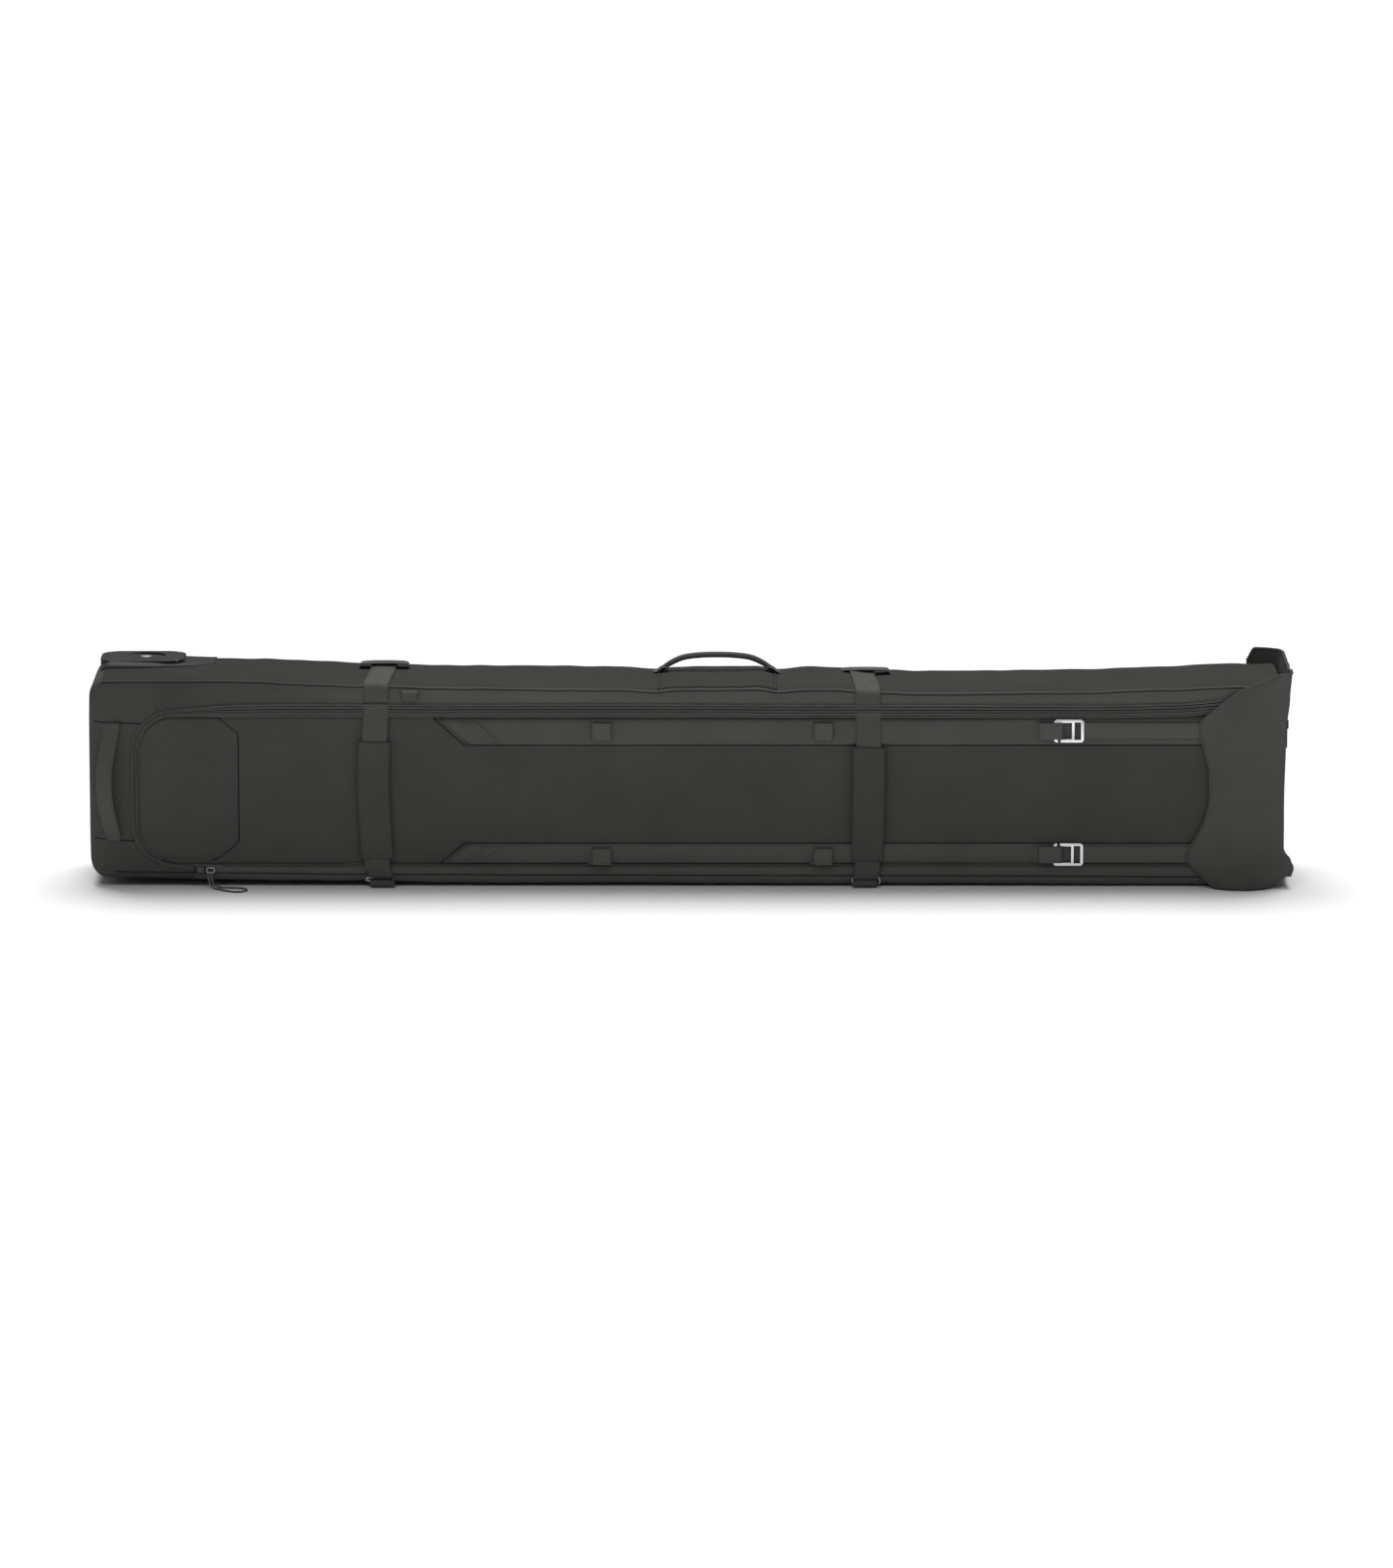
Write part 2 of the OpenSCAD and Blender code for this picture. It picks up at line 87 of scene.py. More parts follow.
# ---- the pull cord's route, as in part.scad
CORD_ROUTE = [(-721, -117, 20), (-720, -119, 13), (-717, -123, 6), (-711, -130, 2),
              (-702, -140, 1.7), (-692, -150, 1.7), (-680, -158, 1.7), (-668, -156, 1.7),
              (-662, -146, 1.7), (-664, -134, 1.7), (-674, -127, 1.7), (-688, -125, 1.7),
              (-701, -124, 2), (-711, -121, 5), (-715, -118, 12), (-716, -117, 20)]
CORD_D = 0.003
CORD_STEPS = 6


# ---- materials
WAVE_SCALE = 0.3142      # turns bands per metre into the wave texture's scale
CLOTH_ROUGH, MOTTLING = 0.82, 0.12


class Shader:
    """A short way to write a node material."""

    def __init__(self, name):
        self.mat = bpy.data.materials.new(name)
        self.mat.use_nodes = True
        self.tree = self.mat.node_tree
        self.bsdf = self.tree.nodes["Principled BSDF"]
        self.coords = self.node("ShaderNodeTexCoord").outputs["Object"]

    def node(self, kind, **values):
        n = self.tree.nodes.new(kind)
        for key, value in values.items():
            setattr(n, key, value)
        return n

    def link(self, a, b):
        self.tree.links.new(a, b)

    def noise(self, scale, detail=3.0, stretch=(1, 1, 1)):
        mapping = self.node("ShaderNodeMapping")
        mapping.inputs["Scale"].default_value = stretch
        self.link(self.coords, mapping.inputs["Vector"])
        n = self.node("ShaderNodeTexNoise")
        n.inputs["Scale"].default_value = scale
        n.inputs["Detail"].default_value = detail
        self.link(mapping.outputs["Vector"], n.inputs["Vector"])
        return n.outputs["Fac"]

    def wave(self, axis, per_metre):
        n = self.node("ShaderNodeTexWave", bands_direction=axis)
        n.inputs["Scale"].default_value = per_metre * WAVE_SCALE
        self.link(self.coords, n.inputs["Vector"])
        return n.outputs["Fac"]

    def math(self, operation, a, b):
        n = self.node("ShaderNodeMath", operation=operation)
        for socket, value in zip(n.inputs, (a, b)):
            if isinstance(value, (int, float)):
                socket.default_value = value
            else:
                self.link(value, socket)
        return n.outputs[0]

    def ramp(self, fac, low, high, a, b):
        n = self.node("ShaderNodeValToRGB")
        n.color_ramp.elements[0].position = low
        n.color_ramp.elements[1].position = high
        n.color_ramp.elements[0].color = (*a, 1)
        n.color_ramp.elements[1].color = (*b, 1)
        self.link(fac, n.inputs["Fac"])
        return n.outputs["Color"]

    def bump(self, height, distance, strength=1.0, normal=None):
        n = self.node("ShaderNodeBump")
        n.inputs["Strength"].default_value = strength
        n.inputs["Distance"].default_value = distance
        self.link(height, n.inputs["Height"])
        if normal is not None:
            self.link(normal, n.inputs["Normal"])
        self.link(n.outputs["Normal"], self.bsdf.inputs["Normal"])
        return n.outputs["Normal"]

    def paint(self, fac, low, high, color, dark, light):
        self.link(self.ramp(fac, low, high, tint(color, dark), tint(color, light)),
                  self.bsdf.inputs["Base Color"])

    def roughen(self, fac, low, high, smooth, rough):
        self.link(self.ramp(fac, low, high, (smooth,) * 3, (rough,) * 3), self.bsdf.inputs["Roughness"])

    def set(self, **values):
        for key, value in values.items():
            self.bsdf.inputs[key.replace("_", " ")].default_value = value


def tint(color, factor):
    return tuple(c * factor for c in color)


def cloth_material(name, color, threads=1400, fade=None):
    """Coated plain-weave fabric: crossed threads, fine mottling and a soft sheen."""
    s = Shader(name)
    weave = s.math("MULTIPLY", s.wave("X", threads), s.wave("Z", threads))
    weave = s.math("ADD", weave, s.math("MULTIPLY", s.wave("Y", threads), 0.5))
    grain = s.noise(900, 2)
    broad = s.noise(9, 4)
    both = s.math("ADD", s.math("MULTIPLY", grain, 0.45), s.math("MULTIPLY", broad, 0.55))
    shade = s.ramp(both, 0.3, 0.7, tint(color, 1 - MOTTLING), tint(color, 1 + MOTTLING))
    if fade:
        axes = s.node("ShaderNodeSeparateXYZ")
        s.link(s.coords, axes.inputs[0])
        step = s.node("ShaderNodeMapRange")
        for socket, value in zip(("From Min", "From Max", "To Min", "To Max"), fade):
            step.inputs[socket].default_value = value
        s.link(axes.outputs["X"], step.inputs["Value"])
        scale = s.node("ShaderNodeVectorMath", operation="SCALE")
        s.link(shade, scale.inputs[0])
        s.link(step.outputs[0], scale.inputs["Scale"])
        shade = scale.outputs[0]
    s.link(shade, s.bsdf.inputs["Base Color"])
    s.roughen(grain, 0.2, 0.8, CLOTH_ROUGH - 0.08, CLOTH_ROUGH + 0.06)
    crumple = s.bump(s.noise(55, 4), 0.0011, 0.55)
    s.bump(s.math("ADD", weave, grain), 0.00022, 0.5, crumple)
    s.set(Specular_IOR_Level=0.06)
    return s.mat


def webbing_material(name, color, axis, ribs=420):
    """Webbing: lengthwise ribs that repeat across the band, with a fine cross weave."""
    s = Shader(name)
    across = s.wave(axis, ribs)
    along = s.wave({"X": "Z", "Z": "X", "Y": "X"}[axis], 1100)
    grain = s.noise(700, 2)
    mix = s.math("ADD", s.math("MULTIPLY", across, 0.7), s.math("MULTIPLY", along, 0.3))
    shade = s.math("ADD", s.math("MULTIPLY", mix, 0.5), s.math("MULTIPLY", grain, 0.5))
    s.paint(shade, 0.25, 0.75, color, 0.8, 1.2)
    s.roughen(grain, 0.2, 0.8, 0.68, 0.85)
    s.bump(s.math("ADD", mix, s.math("MULTIPLY", grain, 0.3)), 0.0005, 0.7)
    s.set(Specular_IOR_Level=0.06)
    return s.mat


def plastic_material(name, color, rough=0.5, grain=0.00012):
    s = Shader(name)
    fine = s.noise(1500, 2)
    broad = s.noise(30, 3)
    s.paint(broad, 0.3, 0.7, color, 0.88, 1.12)
    s.roughen(fine, 0.3, 0.7, rough - 0.07, rough + 0.08)
    s.bump(fine, grain, 0.6)
    s.set(Specular_IOR_Level=0.16)
    return s.mat


def metal_material(name, color, rough=0.3):
    s = Shader(name)
    streaks = s.noise(160, 3, (1, 1, 9))
    s.paint(streaks, 0.3, 0.7, color, 0.9, 1.04)
    s.roughen(streaks, 0.2, 0.8, rough - 0.06, rough + 0.1)
    s.bump(streaks, 0.00006, 0.4)
    s.set(Metallic=1.0)
    return s.mat


SHELL = cloth_material("shell_fabric", (0.064, 0.0635, 0.0597))
BORDER = cloth_material("border_fabric", (0.097, 0.0962, 0.0908), fade=(-0.80, -0.35, 0.60, 1.0))
BAND = cloth_material("band_fabric", (0.086, 0.0852, 0.0805))
# Lower front border: lighter than the shell, partly the border fabric's own tone and partly painted light
# that cancels the shade under the bag's lower edge.
LOW_BORDER_PAINTED_LIGHT = cloth_material("low_border_painted_light", (0.098, 0.097, 0.0915))
FLAP = cloth_material("flap_fabric", (0.084, 0.0833, 0.0788))
# Painted shade: a darker copy of the shell fabric for faces that look up or down, so the top does not render
# too bright under the overhead light; darker still towards the wheel end.
LEVEL_CLOTH_PAINTED_SHADE = cloth_material("level_cloth_painted_shade", (0.041, 0.0406, 0.0382), fade=(-0.80, -0.30, 0.82, 1.0))
PATCH = cloth_material("patch_fabric", (0.062, 0.0615, 0.058), threads=500)
LINING = cloth_material("lining_fabric", (0.075, 0.075, 0.075), threads=900)
WEB_X = webbing_material("webbing_upright", (0.082, 0.081, 0.0765), "X")
WEB_Z = webbing_material("webbing_lengthwise", (0.096, 0.095, 0.090), "Z")
TAPE = webbing_material("zip_tape", (0.115, 0.114, 0.108), "Z", 900)
PLASTIC = plastic_material("moulded_plastic", (0.018, 0.0186, 0.0190), 0.55)
HUB = plastic_material("hub_plastic", (0.07, 0.07, 0.07), 0.5)
RUBBER = plastic_material("wheel_rubber", (0.018, 0.018, 0.018), 0.6, 0.0002)
SHEET = plastic_material("frame_plastic", (0.03, 0.03, 0.03), 0.5)
ALUMINIUM = metal_material("hook_aluminium", (0.88, 0.89, 0.90), 0.34)
STEEL = metal_material("steel", (0.46, 0.46, 0.46), 0.36)
CORD = webbing_material("cord", (0.15, 0.145, 0.135), "X", 700)
SLEEVE = cloth_material("sleeve_fabric", (0.062, 0.0615, 0.058), threads=700)
HANDLE = webbing_material("handle_webbing", (0.125, 0.124, 0.117), "X", 500)
THREAD = plastic_material("thread", (0.085, 0.084, 0.080), 0.8)
# Near-black strip material: painted shade in seam gaps and in the zip's valleys.
GROOVE_SHADE = cloth_material("groove_painted_shade", (0.022, 0.022, 0.021))

# ---- the bag's form
HALF_L, HALF_D = 0.900, 0.110
EDGE_R = 0.012
END_R = 0.028
MOUTH_R = 0.010
# Upper and lower outlines along the bag, a little slack in the middle
TOP_LINE = [(-0.900, 0.3160), (-0.700, 0.3165), (-0.470, 0.3095), (-0.380, 0.3060), (-0.100, 0.3035),
            (-0.043, 0.3000), (-0.015, 0.3035), (0.105, 0.3040), (0.137, 0.3000), (0.200, 0.3035),
            (0.300, 0.2985), (0.360, 0.2965), (0.600, 0.2995), (0.720, 0.3035), (0.830, 0.3075),
            (0.900, 0.3080)]
LOW_LINE = [(-0.900, 0.013), (-0.600, 0.008), (-0.300, 0.004), (0.400, 0.003), (0.800, 0.002),
            (0.900, 0.009)]
STRAP_A, STRAP_B = -0.467, 0.275
STRAP_W, SLEEVE_W = 0.038, 0.048
STRAP_TOP = 0.905            # how far up the front a strap's loose run goes
FLAP_STRAP_Z = (("upper", 0.240), ("lower", 0.051))
HANDLE_Y, KEEPER_Y = 0.060, 0.066
SHELL_THICK = 0.006
WHEEL_X, WHEEL_Y = -0.822, 0.072


def along(line, x):
    """Smooth value of a line of (place, value) pairs."""
    if x <= line[0][0]:
        return line[0][1]
    for (x0, v0), (x1, v1) in zip(line, line[1:]):
        if x <= x1:
            t = (x - x0) / (x1 - x0)
            return v0 + (v1 - v0) * t * t * (3 - 2 * t)
    return line[-1][1]


def clamp(v, low, high):
    return max(low, min(high, v))


def dome(x, centre, half):
    """1 at the centre, falling smoothly to 0 at half the width away."""
    t = clamp(1 - abs(x - centre) / half, 0, 1)
    return t * t * (3 - 2 * t)


def end_inset(x):
    """How far the outline pulls in near each end, so that the ends are rounded."""
    total = 0.0
    for side in (-1, 1):
        r = END_R if side < 0 else MOUTH_R
        d = r - (HALF_L - side * x)
        if d > 0:
            total += r - math.sqrt(max(r ** 2 - min(d, r) ** 2, 0))
    return total


def limits(x):
    e = end_inset(x)
    return along(LOW_LINE, x) + e, along(TOP_LINE, x) - e, HALF_D - e


def undulation(x, y, z):
    """How far the filled fabric stands proud of its plain form: broad slackness, and pulls near the seams."""
    broad = noise.noise(Vector((x * 3.1, y * 7, z * 6 + 3)))
    folds = noise.noise(Vector((x * 13, y * 16, z * 9 + 7)))
    low, high, _ = limits(x)
    near_edge = math.exp(-((high - z) / 0.03) ** 2) + 0.6 * math.exp(-((z - low) / 0.03) ** 2)
    puckers = math.sin(x * 95 + 3 * broad) * noise.noise(Vector((x * 9, 2.5, z * 3)))
    press = dome(x, STRAP_A, 0.045) + dome(x, STRAP_B, 0.045)
    return 0.0016 * broad + 0.0009 * folds + 0.0011 * near_edge * puckers - 0.0012 * press


def skin(x, y, z, lift=0.0):
    """The point on the bag's outside for a point on its plain box, standing off by lift."""
    low, high, deep = limits(x)
    r = EDGE_R
    y, z = clamp(y, -deep, deep), clamp(z, low, high)
    qy, qz = clamp(y, -deep + r, deep - r), clamp(z, low + r, high - r)
    dy, dz = y - qy, z - qz
    d = math.hypot(dy, dz)
    if d < 1e-9:
        dy, dz, d = -1.0, 0.0, 1.0
    reach = r + undulation(x, y, z) + lift
    return Vector((x, qy + dy / d * reach, max(qz + dz / d * reach, 0.0003 + min(max(lift, 0), 0.002))))


def front(x, z, lift=0.0):
    low, high, deep = limits(x)
    return skin(x, -deep, clamp(z, low, high), lift)


def top(x, y, lift=0.0):
    return skin(x, y, limits(x)[1], lift)


def rim_point(x, t, lift=0.0):
    """A point round the section: t goes up the front to 1, over the top, down the back, and below to 4."""
    low, high, deep = limits(x)
    f = t % 1.0
    if t < 1 or t == 4:
        return skin(x, -deep, low + (high - low) * (f if t < 4 else 0), lift)
    if t < 2:
        return skin(x, -deep + 2 * deep * f, high, lift)
    if t < 3:
        return skin(x, deep, high - (high - low) * f, lift)
    return skin(x, deep - 2 * deep * f, low, lift)


# ---- mesh helpers
SAME_POINT = 1e-6        # points closer than this are one


def dress(obj, slot, *stands_for):
    """Hides the CAD nodes that a piece stands for; its slot argument is not used."""
    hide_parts(*stands_for)
    return obj


def clean_object(name, mesh):
    """An object from a mesh, with joined points, outward faces and smooth shading."""
    bm = bmesh.new()
    bm.from_mesh(mesh)
    bmesh.ops.remove_doubles(bm, verts=bm.verts, dist=SAME_POINT)
    bmesh.ops.recalc_face_normals(bm, faces=bm.faces)
    bm.to_mesh(mesh)
    bm.free()
    mesh.polygons.foreach_set("use_smooth", [True] * len(mesh.polygons))
    obj = bpy.data.objects.new(name, mesh)
    bpy.context.scene.collection.objects.link(obj)
    return obj


def finish_mesh(name, verts, faces, material):
    mesh = bpy.data.meshes.new(name)
    mesh.from_pydata([tuple(v) for v in verts], [], faces)
    mesh.validate()
    mesh.materials.append(material)
    return clean_object(name, mesh)


def apply_modifiers(obj):
    graph = bpy.context.evaluated_depsgraph_get()
    mesh = bpy.data.meshes.new_from_object(obj.evaluated_get(graph))
    obj.modifiers.clear()
    old = obj.data
    obj.data = mesh
    bpy.data.meshes.remove(old)
    return obj


def thicken(obj, thickness):
    m = obj.modifiers.new("thickness", "SOLIDIFY")
    m.thickness = thickness
    m.offset = 0
    return apply_modifiers(obj)


def bevelled_copy(node, material, width):
    """A piece of the CAD node's own shape, with its edges rounded."""
    mesh = nodes[node].data.copy()
    obj = bpy.data.objects.new(node + "_piece", mesh)
    bpy.context.scene.collection.objects.link(obj)
    bm = bmesh.new()
    bm.from_mesh(mesh)
    bmesh.ops.remove_doubles(bm, verts=bm.verts, dist=SAME_POINT)
    bmesh.ops.dissolve_limit(bm, angle_limit=math.radians(1), verts=bm.verts, edges=bm.edges)
    bm.to_mesh(mesh)
    bm.free()
    m = obj.modifiers.new("bevel", "BEVEL")
    m.width = width
    m.segments = 2
    m.limit_method = "ANGLE"
    m.angle_limit = math.radians(35)
    m.use_clamp_overlap = True
    apply_modifiers(obj)
    obj.data.polygons.foreach_set("use_smooth", [True] * len(obj.data.polygons))
    obj.data.set_sharp_from_angle(angle=math.radians(40))
    obj.data.materials.clear()
    obj.data.materials.append(material)
    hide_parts(node)
    return obj


def grid_faces(rows, cols, closed=False, start=0):
    faces = []
    for i in range(rows - 1):
        for k in range(cols if closed else cols - 1):
            m = (k + 1) % cols
            faces.append((start + i * cols + k, start + i * cols + m,
                          start + (i + 1) * cols + m, start + (i + 1) * cols + k))
    return faces


def sweep(name, stations, material):
    """A skin through a list of rings, each a list of as many points."""
    cols = len(stations[0])
    verts = [p for ring in stations for p in ring]
    faces = grid_faces(len(stations), cols, True)
    faces.append(tuple(range(cols)))
    faces.append(tuple((len(stations) - 1) * cols + k for k in range(cols - 1, -1, -1)))
    return finish_mesh(name, verts, faces, material)


def resample(path, step):
    """Points a step apart along a line of points, ends kept."""
    path = [Vector(p) for p in path]
    lengths = [(b - a).length for a, b in zip(path, path[1:])]
    total = sum(lengths)
    count = max(2, round(total / step) + 1)
    out, i, done = [], 0, 0.0
    for k in range(count):
        want = total * k / (count - 1)
        while i < len(lengths) - 1 and done + lengths[i] < want:
            done += lengths[i]
            i += 1
        t = (want - done) / lengths[i] if lengths[i] else 0
        out.append(path[i].lerp(path[i + 1], clamp(t, 0, 1)))
    return out


def strip_on_front(name, path, profile, material, step=0.005, width=lambda p: 1.0, shaded_valleys=()):
    """A strip that follows a line of (x, z) points on the front. The profile is a list of (side, lift)."""
    line = resample([Vector((x, z, 0)) for x, z in path], step)
    rings = []
    for i, p in enumerate(line):
        a, b = line[max(i - 1, 0)], line[min(i + 1, len(line) - 1)]
        t = (b - a).normalized()
        n = Vector((-t.y, t.x))
        w = width(p)
        rings.append([front(p.x + n.x * s * w, p.y + n.y * s * w, lift * (0.5 + 0.5 * w))
                      for s, lift in profile])
    obj = sweep(name, rings, material)
    # The listed valley faces take the painted-shade strip material.
    if shaded_valleys:
        obj.data.materials.append(GROOVE_SHADE)
        for i, poly in enumerate(obj.data.polygons):
            if i % len(profile) in shaded_valleys:
                poly.material_index = 1
    return obj


STITCH_PITCH, STITCH_W = 0.0045, 0.0009


def stitch_line(name, path, lift):
    """A row of separate stitches along a line, each a small rounded bar."""
    line = resample([Vector((u, v, 0)) for u, v in path], STITCH_PITCH)
    verts, faces = [], []
    for a, b in zip(line, line[1:]):
        t = (b - a).normalized()
        n = Vector((-t.y, t.x, 0))
        p, q = a.lerp(b, 0.14), a.lerp(b, 0.86)
        base = len(verts)
        for point, size in ((p, 0.6), (p.lerp(q, 0.5), 1.0), (q, 0.6)):
            for side, up in ((-1, -0.4), (-0.6, 0.6), (0.6, 0.6), (1, -0.4)):
                c = point + n * side * STITCH_W / 2 * size
                verts.append(front(c.x, c.y, lift + up * STITCH_W * 0.5 * size))
        faces += grid_faces(3, 4, True, base)
        faces += [(base, base + 1, base + 2, base + 3), (base + 11, base + 10, base + 9, base + 8)]
    return finish_mesh(name, verts, faces, THREAD)


def tube(name, points, radius, material, sides=10, flatten=1.0):
    """A round or flattened bar along a line of points, which never twists."""
    pts = [Vector(p) for p in points]
    rings, u = [], None
    for i, p in enumerate(pts):
        t = (pts[min(i + 1, len(pts) - 1)] - pts[max(i - 1, 0)]).normalized()
        if u is None:
            u = t.cross(Vector((1, 0, 0)) if abs(t.z) > 0.8 else Vector((0, 0, 1))).normalized()
        u = (u - t * u.dot(t)).normalized()
        v = t.cross(u)
        r = radius(i / (len(pts) - 1)) if callable(radius) else radius
        rings.append([p + (u * math.cos(a) + v * math.sin(a) * flatten) * r
                      for a in (2 * math.pi * k / sides for k in range(sides))])
    return sweep(name, rings, material)


def spline(points, steps):
    pts = [Vector(p) for p in points]
    out = []
    for i in range(len(pts) - 1):
        a, b = pts[max(i - 1, 0)], pts[i]
        c, d = pts[i + 1], pts[min(i + 2, len(pts) - 1)]
        for k in range(steps):
            t = k / steps
            out.append(0.5 * (2 * b + (c - a) * t + (2 * a - 5 * b + 4 * c - d) * t * t
                              + (3 * b - a - 3 * c + d) * t * t * t))
    return out + [pts[-1]]


def arc(cx, cz, r, a0, a1, steps=14):
    """Points of an arc in X and Z, angles in degrees."""
    return [(cx + r * math.cos(math.radians(a0 + (a1 - a0) * k / steps)),
             cz + r * math.sin(math.radians(a0 + (a1 - a0) * k / steps))) for k in range(steps + 1)]


# ---- the lid's outline
LID_LEFT, LID_TOP, HINGE_Z, LID_R = -0.834, 0.268, 0.034, 0.062
LID_END = 0.872                          # the front fabric ends here, under the flap


def opening_span(x, d):
    """Lowest and highest point of the lid opening at x, pulled in by d; None outside it."""
    left, r = LID_LEFT + d, LID_R - d
    if x < left:
        return None
    bite = 0.0
    if x < left + r:
        bite = r - math.sqrt(max(r * r - (left + r - x) ** 2, 0))
    return HINGE_Z + max(d, 0) * 0.1 + bite, LID_TOP - d - bite


def in_opening(x, z, d):
    span = opening_span(x, d)
    return span is not None and x < LID_END and span[0] < z < span[1]


def housing_hole(x, y, margin):
    return (abs(x - (WHEEL_X - 0.004)) < 0.064 - margin) and (WHEEL_Y - 0.056 + margin < y)


# ---- body shell
def body_shell():
    xs = [-HALF_L + END_R * (1 - math.cos(math.radians(a))) for a in range(0, 90, 9)]
    count = 350
    start, stop = -HALF_L + END_R, HALF_L - MOUTH_R
    xs += [start + (stop - start) * k / count for k in range(count + 1)]
    xs += [HALF_L - MOUTH_R * (1 - math.cos(math.radians(a))) for a in range(81, -1, -9)]
    ts = []
    for side, n in enumerate((62, 34, 50, 30)):
        ts += [side + k / n for k in range(n)]
    rings = [[rim_point(x, t) for t in ts] for x in xs]
    for end, first in ((-1, True), (1, False)):
        ring = rings[0] if first else rings[-1]
        centre = sum(ring, Vector()) / len(ring)
        caps = []
        for k in range(1, 9):
            f = 1 - k / 9
            out = 0.004 * (1 - f * f)
            caps.append([centre.lerp(p, f) + Vector((end * out, 0, 0)) for p in ring])
        rings = caps[::-1] + rings if first else rings + caps
    verts = [p for ring in rings for p in ring]
    n = len(ts)
    faces = []
    for f in grid_faces(len(rings), n, True) + [tuple(range(n)),
                                                 tuple(len(verts) - 1 - k for k in range(n))]:
        c = sum((verts[i] for i in f), Vector()) / len(f)
        if c.y < -0.09 and in_opening(c.x, c.z, 0.0005):
            continue
        if (c.z > 0.270 or c.z < 0.055) and housing_hole(c.x, c.y, 0.004):
            continue
        faces.append(f)
    obj = finish_mesh("body_shell", verts, faces, SHELL)
    for material in (LINING, LEVEL_CLOTH_PAINTED_SHADE, BORDER, LOW_BORDER_PAINTED_LIGHT):
        obj.data.materials.append(material)
    for poly in obj.data.polygons:
        # Faces that look up or down get the painted-shade copy of the shell fabric.
        if abs(poly.normal.z) > 0.93:
            poly.material_index = 2
        elif poly.center.z > 0.262 and poly.center.y < -0.09 and poly.center.x > -0.80:
            poly.material_index = 3
        # The lower front strip takes the border copy lightened with painted light.
        elif poly.center.z < 0.036 and poly.center.y < -0.09 and poly.center.x > -0.74:
            poly.material_index = 4
    m = obj.modifiers.new("thickness", "SOLIDIFY")
    m.thickness = SHELL_THICK
    m.offset = -1
    m.use_rim = True
    m.material_offset = 1
    m.material_offset_rim = 0
    apply_modifiers(obj)
    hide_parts("back_panel", "upper_side_panel", "lower_side_panel", "wheel_end_panel",
                "mouth_end_panel", "front_border_sides", "front_border_wheel_end", "back_foam",
                "upper_side_foam", "lower_side_foam")
    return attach(obj, "root")


def turning(obj):
    """For fabric that is fast to the body at the mouth end and swings with the lid elsewhere; this only bakes
    the transform into the mesh.
    """
    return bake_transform(obj)


def slab(name, top_rows, low_rows, material, low_material=None):
    """A closed slab between two grids of points of the same size."""
    rows, cols = len(top_rows), len(top_rows[0])
    verts = [p for row in top_rows for p in row] + [p for row in low_rows for p in row]
    n = rows * cols
    faces = grid_faces(rows, cols) + [tuple(reversed(f)) for f in grid_faces(rows, cols, start=n)]
    first_low = (rows - 1) * (cols - 1)
    edge = [k for k in range(cols)] + [i * cols + cols - 1 for i in range(1, rows)]
    edge += [(rows - 1) * cols + k for k in range(cols - 2, -1, -1)]
    edge += [i * cols for i in range(rows - 2, 0, -1)]
    for a, b in zip(edge, edge[1:] + edge[:1]):
        faces.append((b, a, a + n, b + n))
    mesh = bpy.data.meshes.new(name)
    mesh.from_pydata([tuple(v) for v in verts], [], faces)
    mesh.materials.append(material)
    if low_material:
        mesh.materials.append(low_material)
        for i in range(first_low, 2 * first_low):
            mesh.polygons[i].material_index = 1
    return clean_object(name, mesh)


def lid_shell():
    """The lid's padded panel, one piece of fabric with the fixed front at the mouth end."""
    left = LID_LEFT + 0.006
    xs = [left + 0.002 * k * k / 10 for k in range(1, 16)]
    count = 330
    xs += [xs[-1] + (LID_END - xs[-1]) * k / count for k in range(1, count + 1)]
    rows, low_rows = [], []
    across = 44
    for x in xs:
        lo, hi = opening_span(x, 0.0052)
        lo = max(lo, HINGE_Z + 0.0006)
        row, low = [], []
        for k in range(across + 1):
            v = k / across
            z = lo + (hi - lo) * v
            edge = min(1, min(v, 1 - v) * (hi - lo) / 0.010)
            # a slack middle between the padded borders
            hollow = 0.0016 * clamp((x + 0.34) / 0.05, 0, 1) * dome(z, 0.145, 0.085)
            row.append(front(x, z, -0.0015 * (1 - edge) ** 2 - hollow))
            low.append(front(x, z, -0.0075))
        rows.append(row)
        low_rows.append(low)
    obj = slab("lid_shell", rows, low_rows, SHELL, LINING)
    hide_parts("lid_panel", "lid_foam", "front_end_panel")
    return turning(obj)


TUCK = 0.0008            # how deep an overlay's edge is let into the fabric


def front_patch(name, corners, lift, material, nu, nv):
    """A closed overlay on the front. corners gives (x, z) for u, v from 0 to 1; lift its height there."""
    rows, low = [], []
    for i in range(nu + 1):
        u = i / nu
        row = []
        under = []
        for k in range(nv + 1):
            v = k / nv
            x, z = corners(u, v)
            fall = min(1, min(v, 1 - v) * nv / 1.6, min(u, 1 - u) * nu / 1.6)
            row.append(front(x, z, -TUCK * 0.5 + (lift(u, v) + TUCK * 0.5) * math.sqrt(fall)))
            under.append(front(x, z, -TUCK))
        rows.append(row)
        low.append(under)
    return slab(name, rows, low, material)


def band(name, z0, z1, left0, left1, right, node):
    """A padded band along the front, whose wheel end is cut on the slant."""
    def corners(u, v):
        left = left0 + (left1 - left0) * v
        return left + (right - left) * u, z0 + (z1 - z0) * v

    def height(u, v):
        x = left0 + (right - left0) * u
        return (0.0034 + 0.0016 * math.sin(math.pi * v)) * (1 - 0.55 * clamp((x - 0.42) / 0.1, 0, 1))
    obj = front_patch(name, corners, height, BAND, 260, 14)
    return turning(dress(obj, "shell_fabric", node))


BANDS = [("upper", 0.2170, 0.2580, -0.3340, -0.3800),
         ("lower", 0.0365, 0.0675, -0.3700, -0.3340)]   # label, low, high, wheel end at low and at high


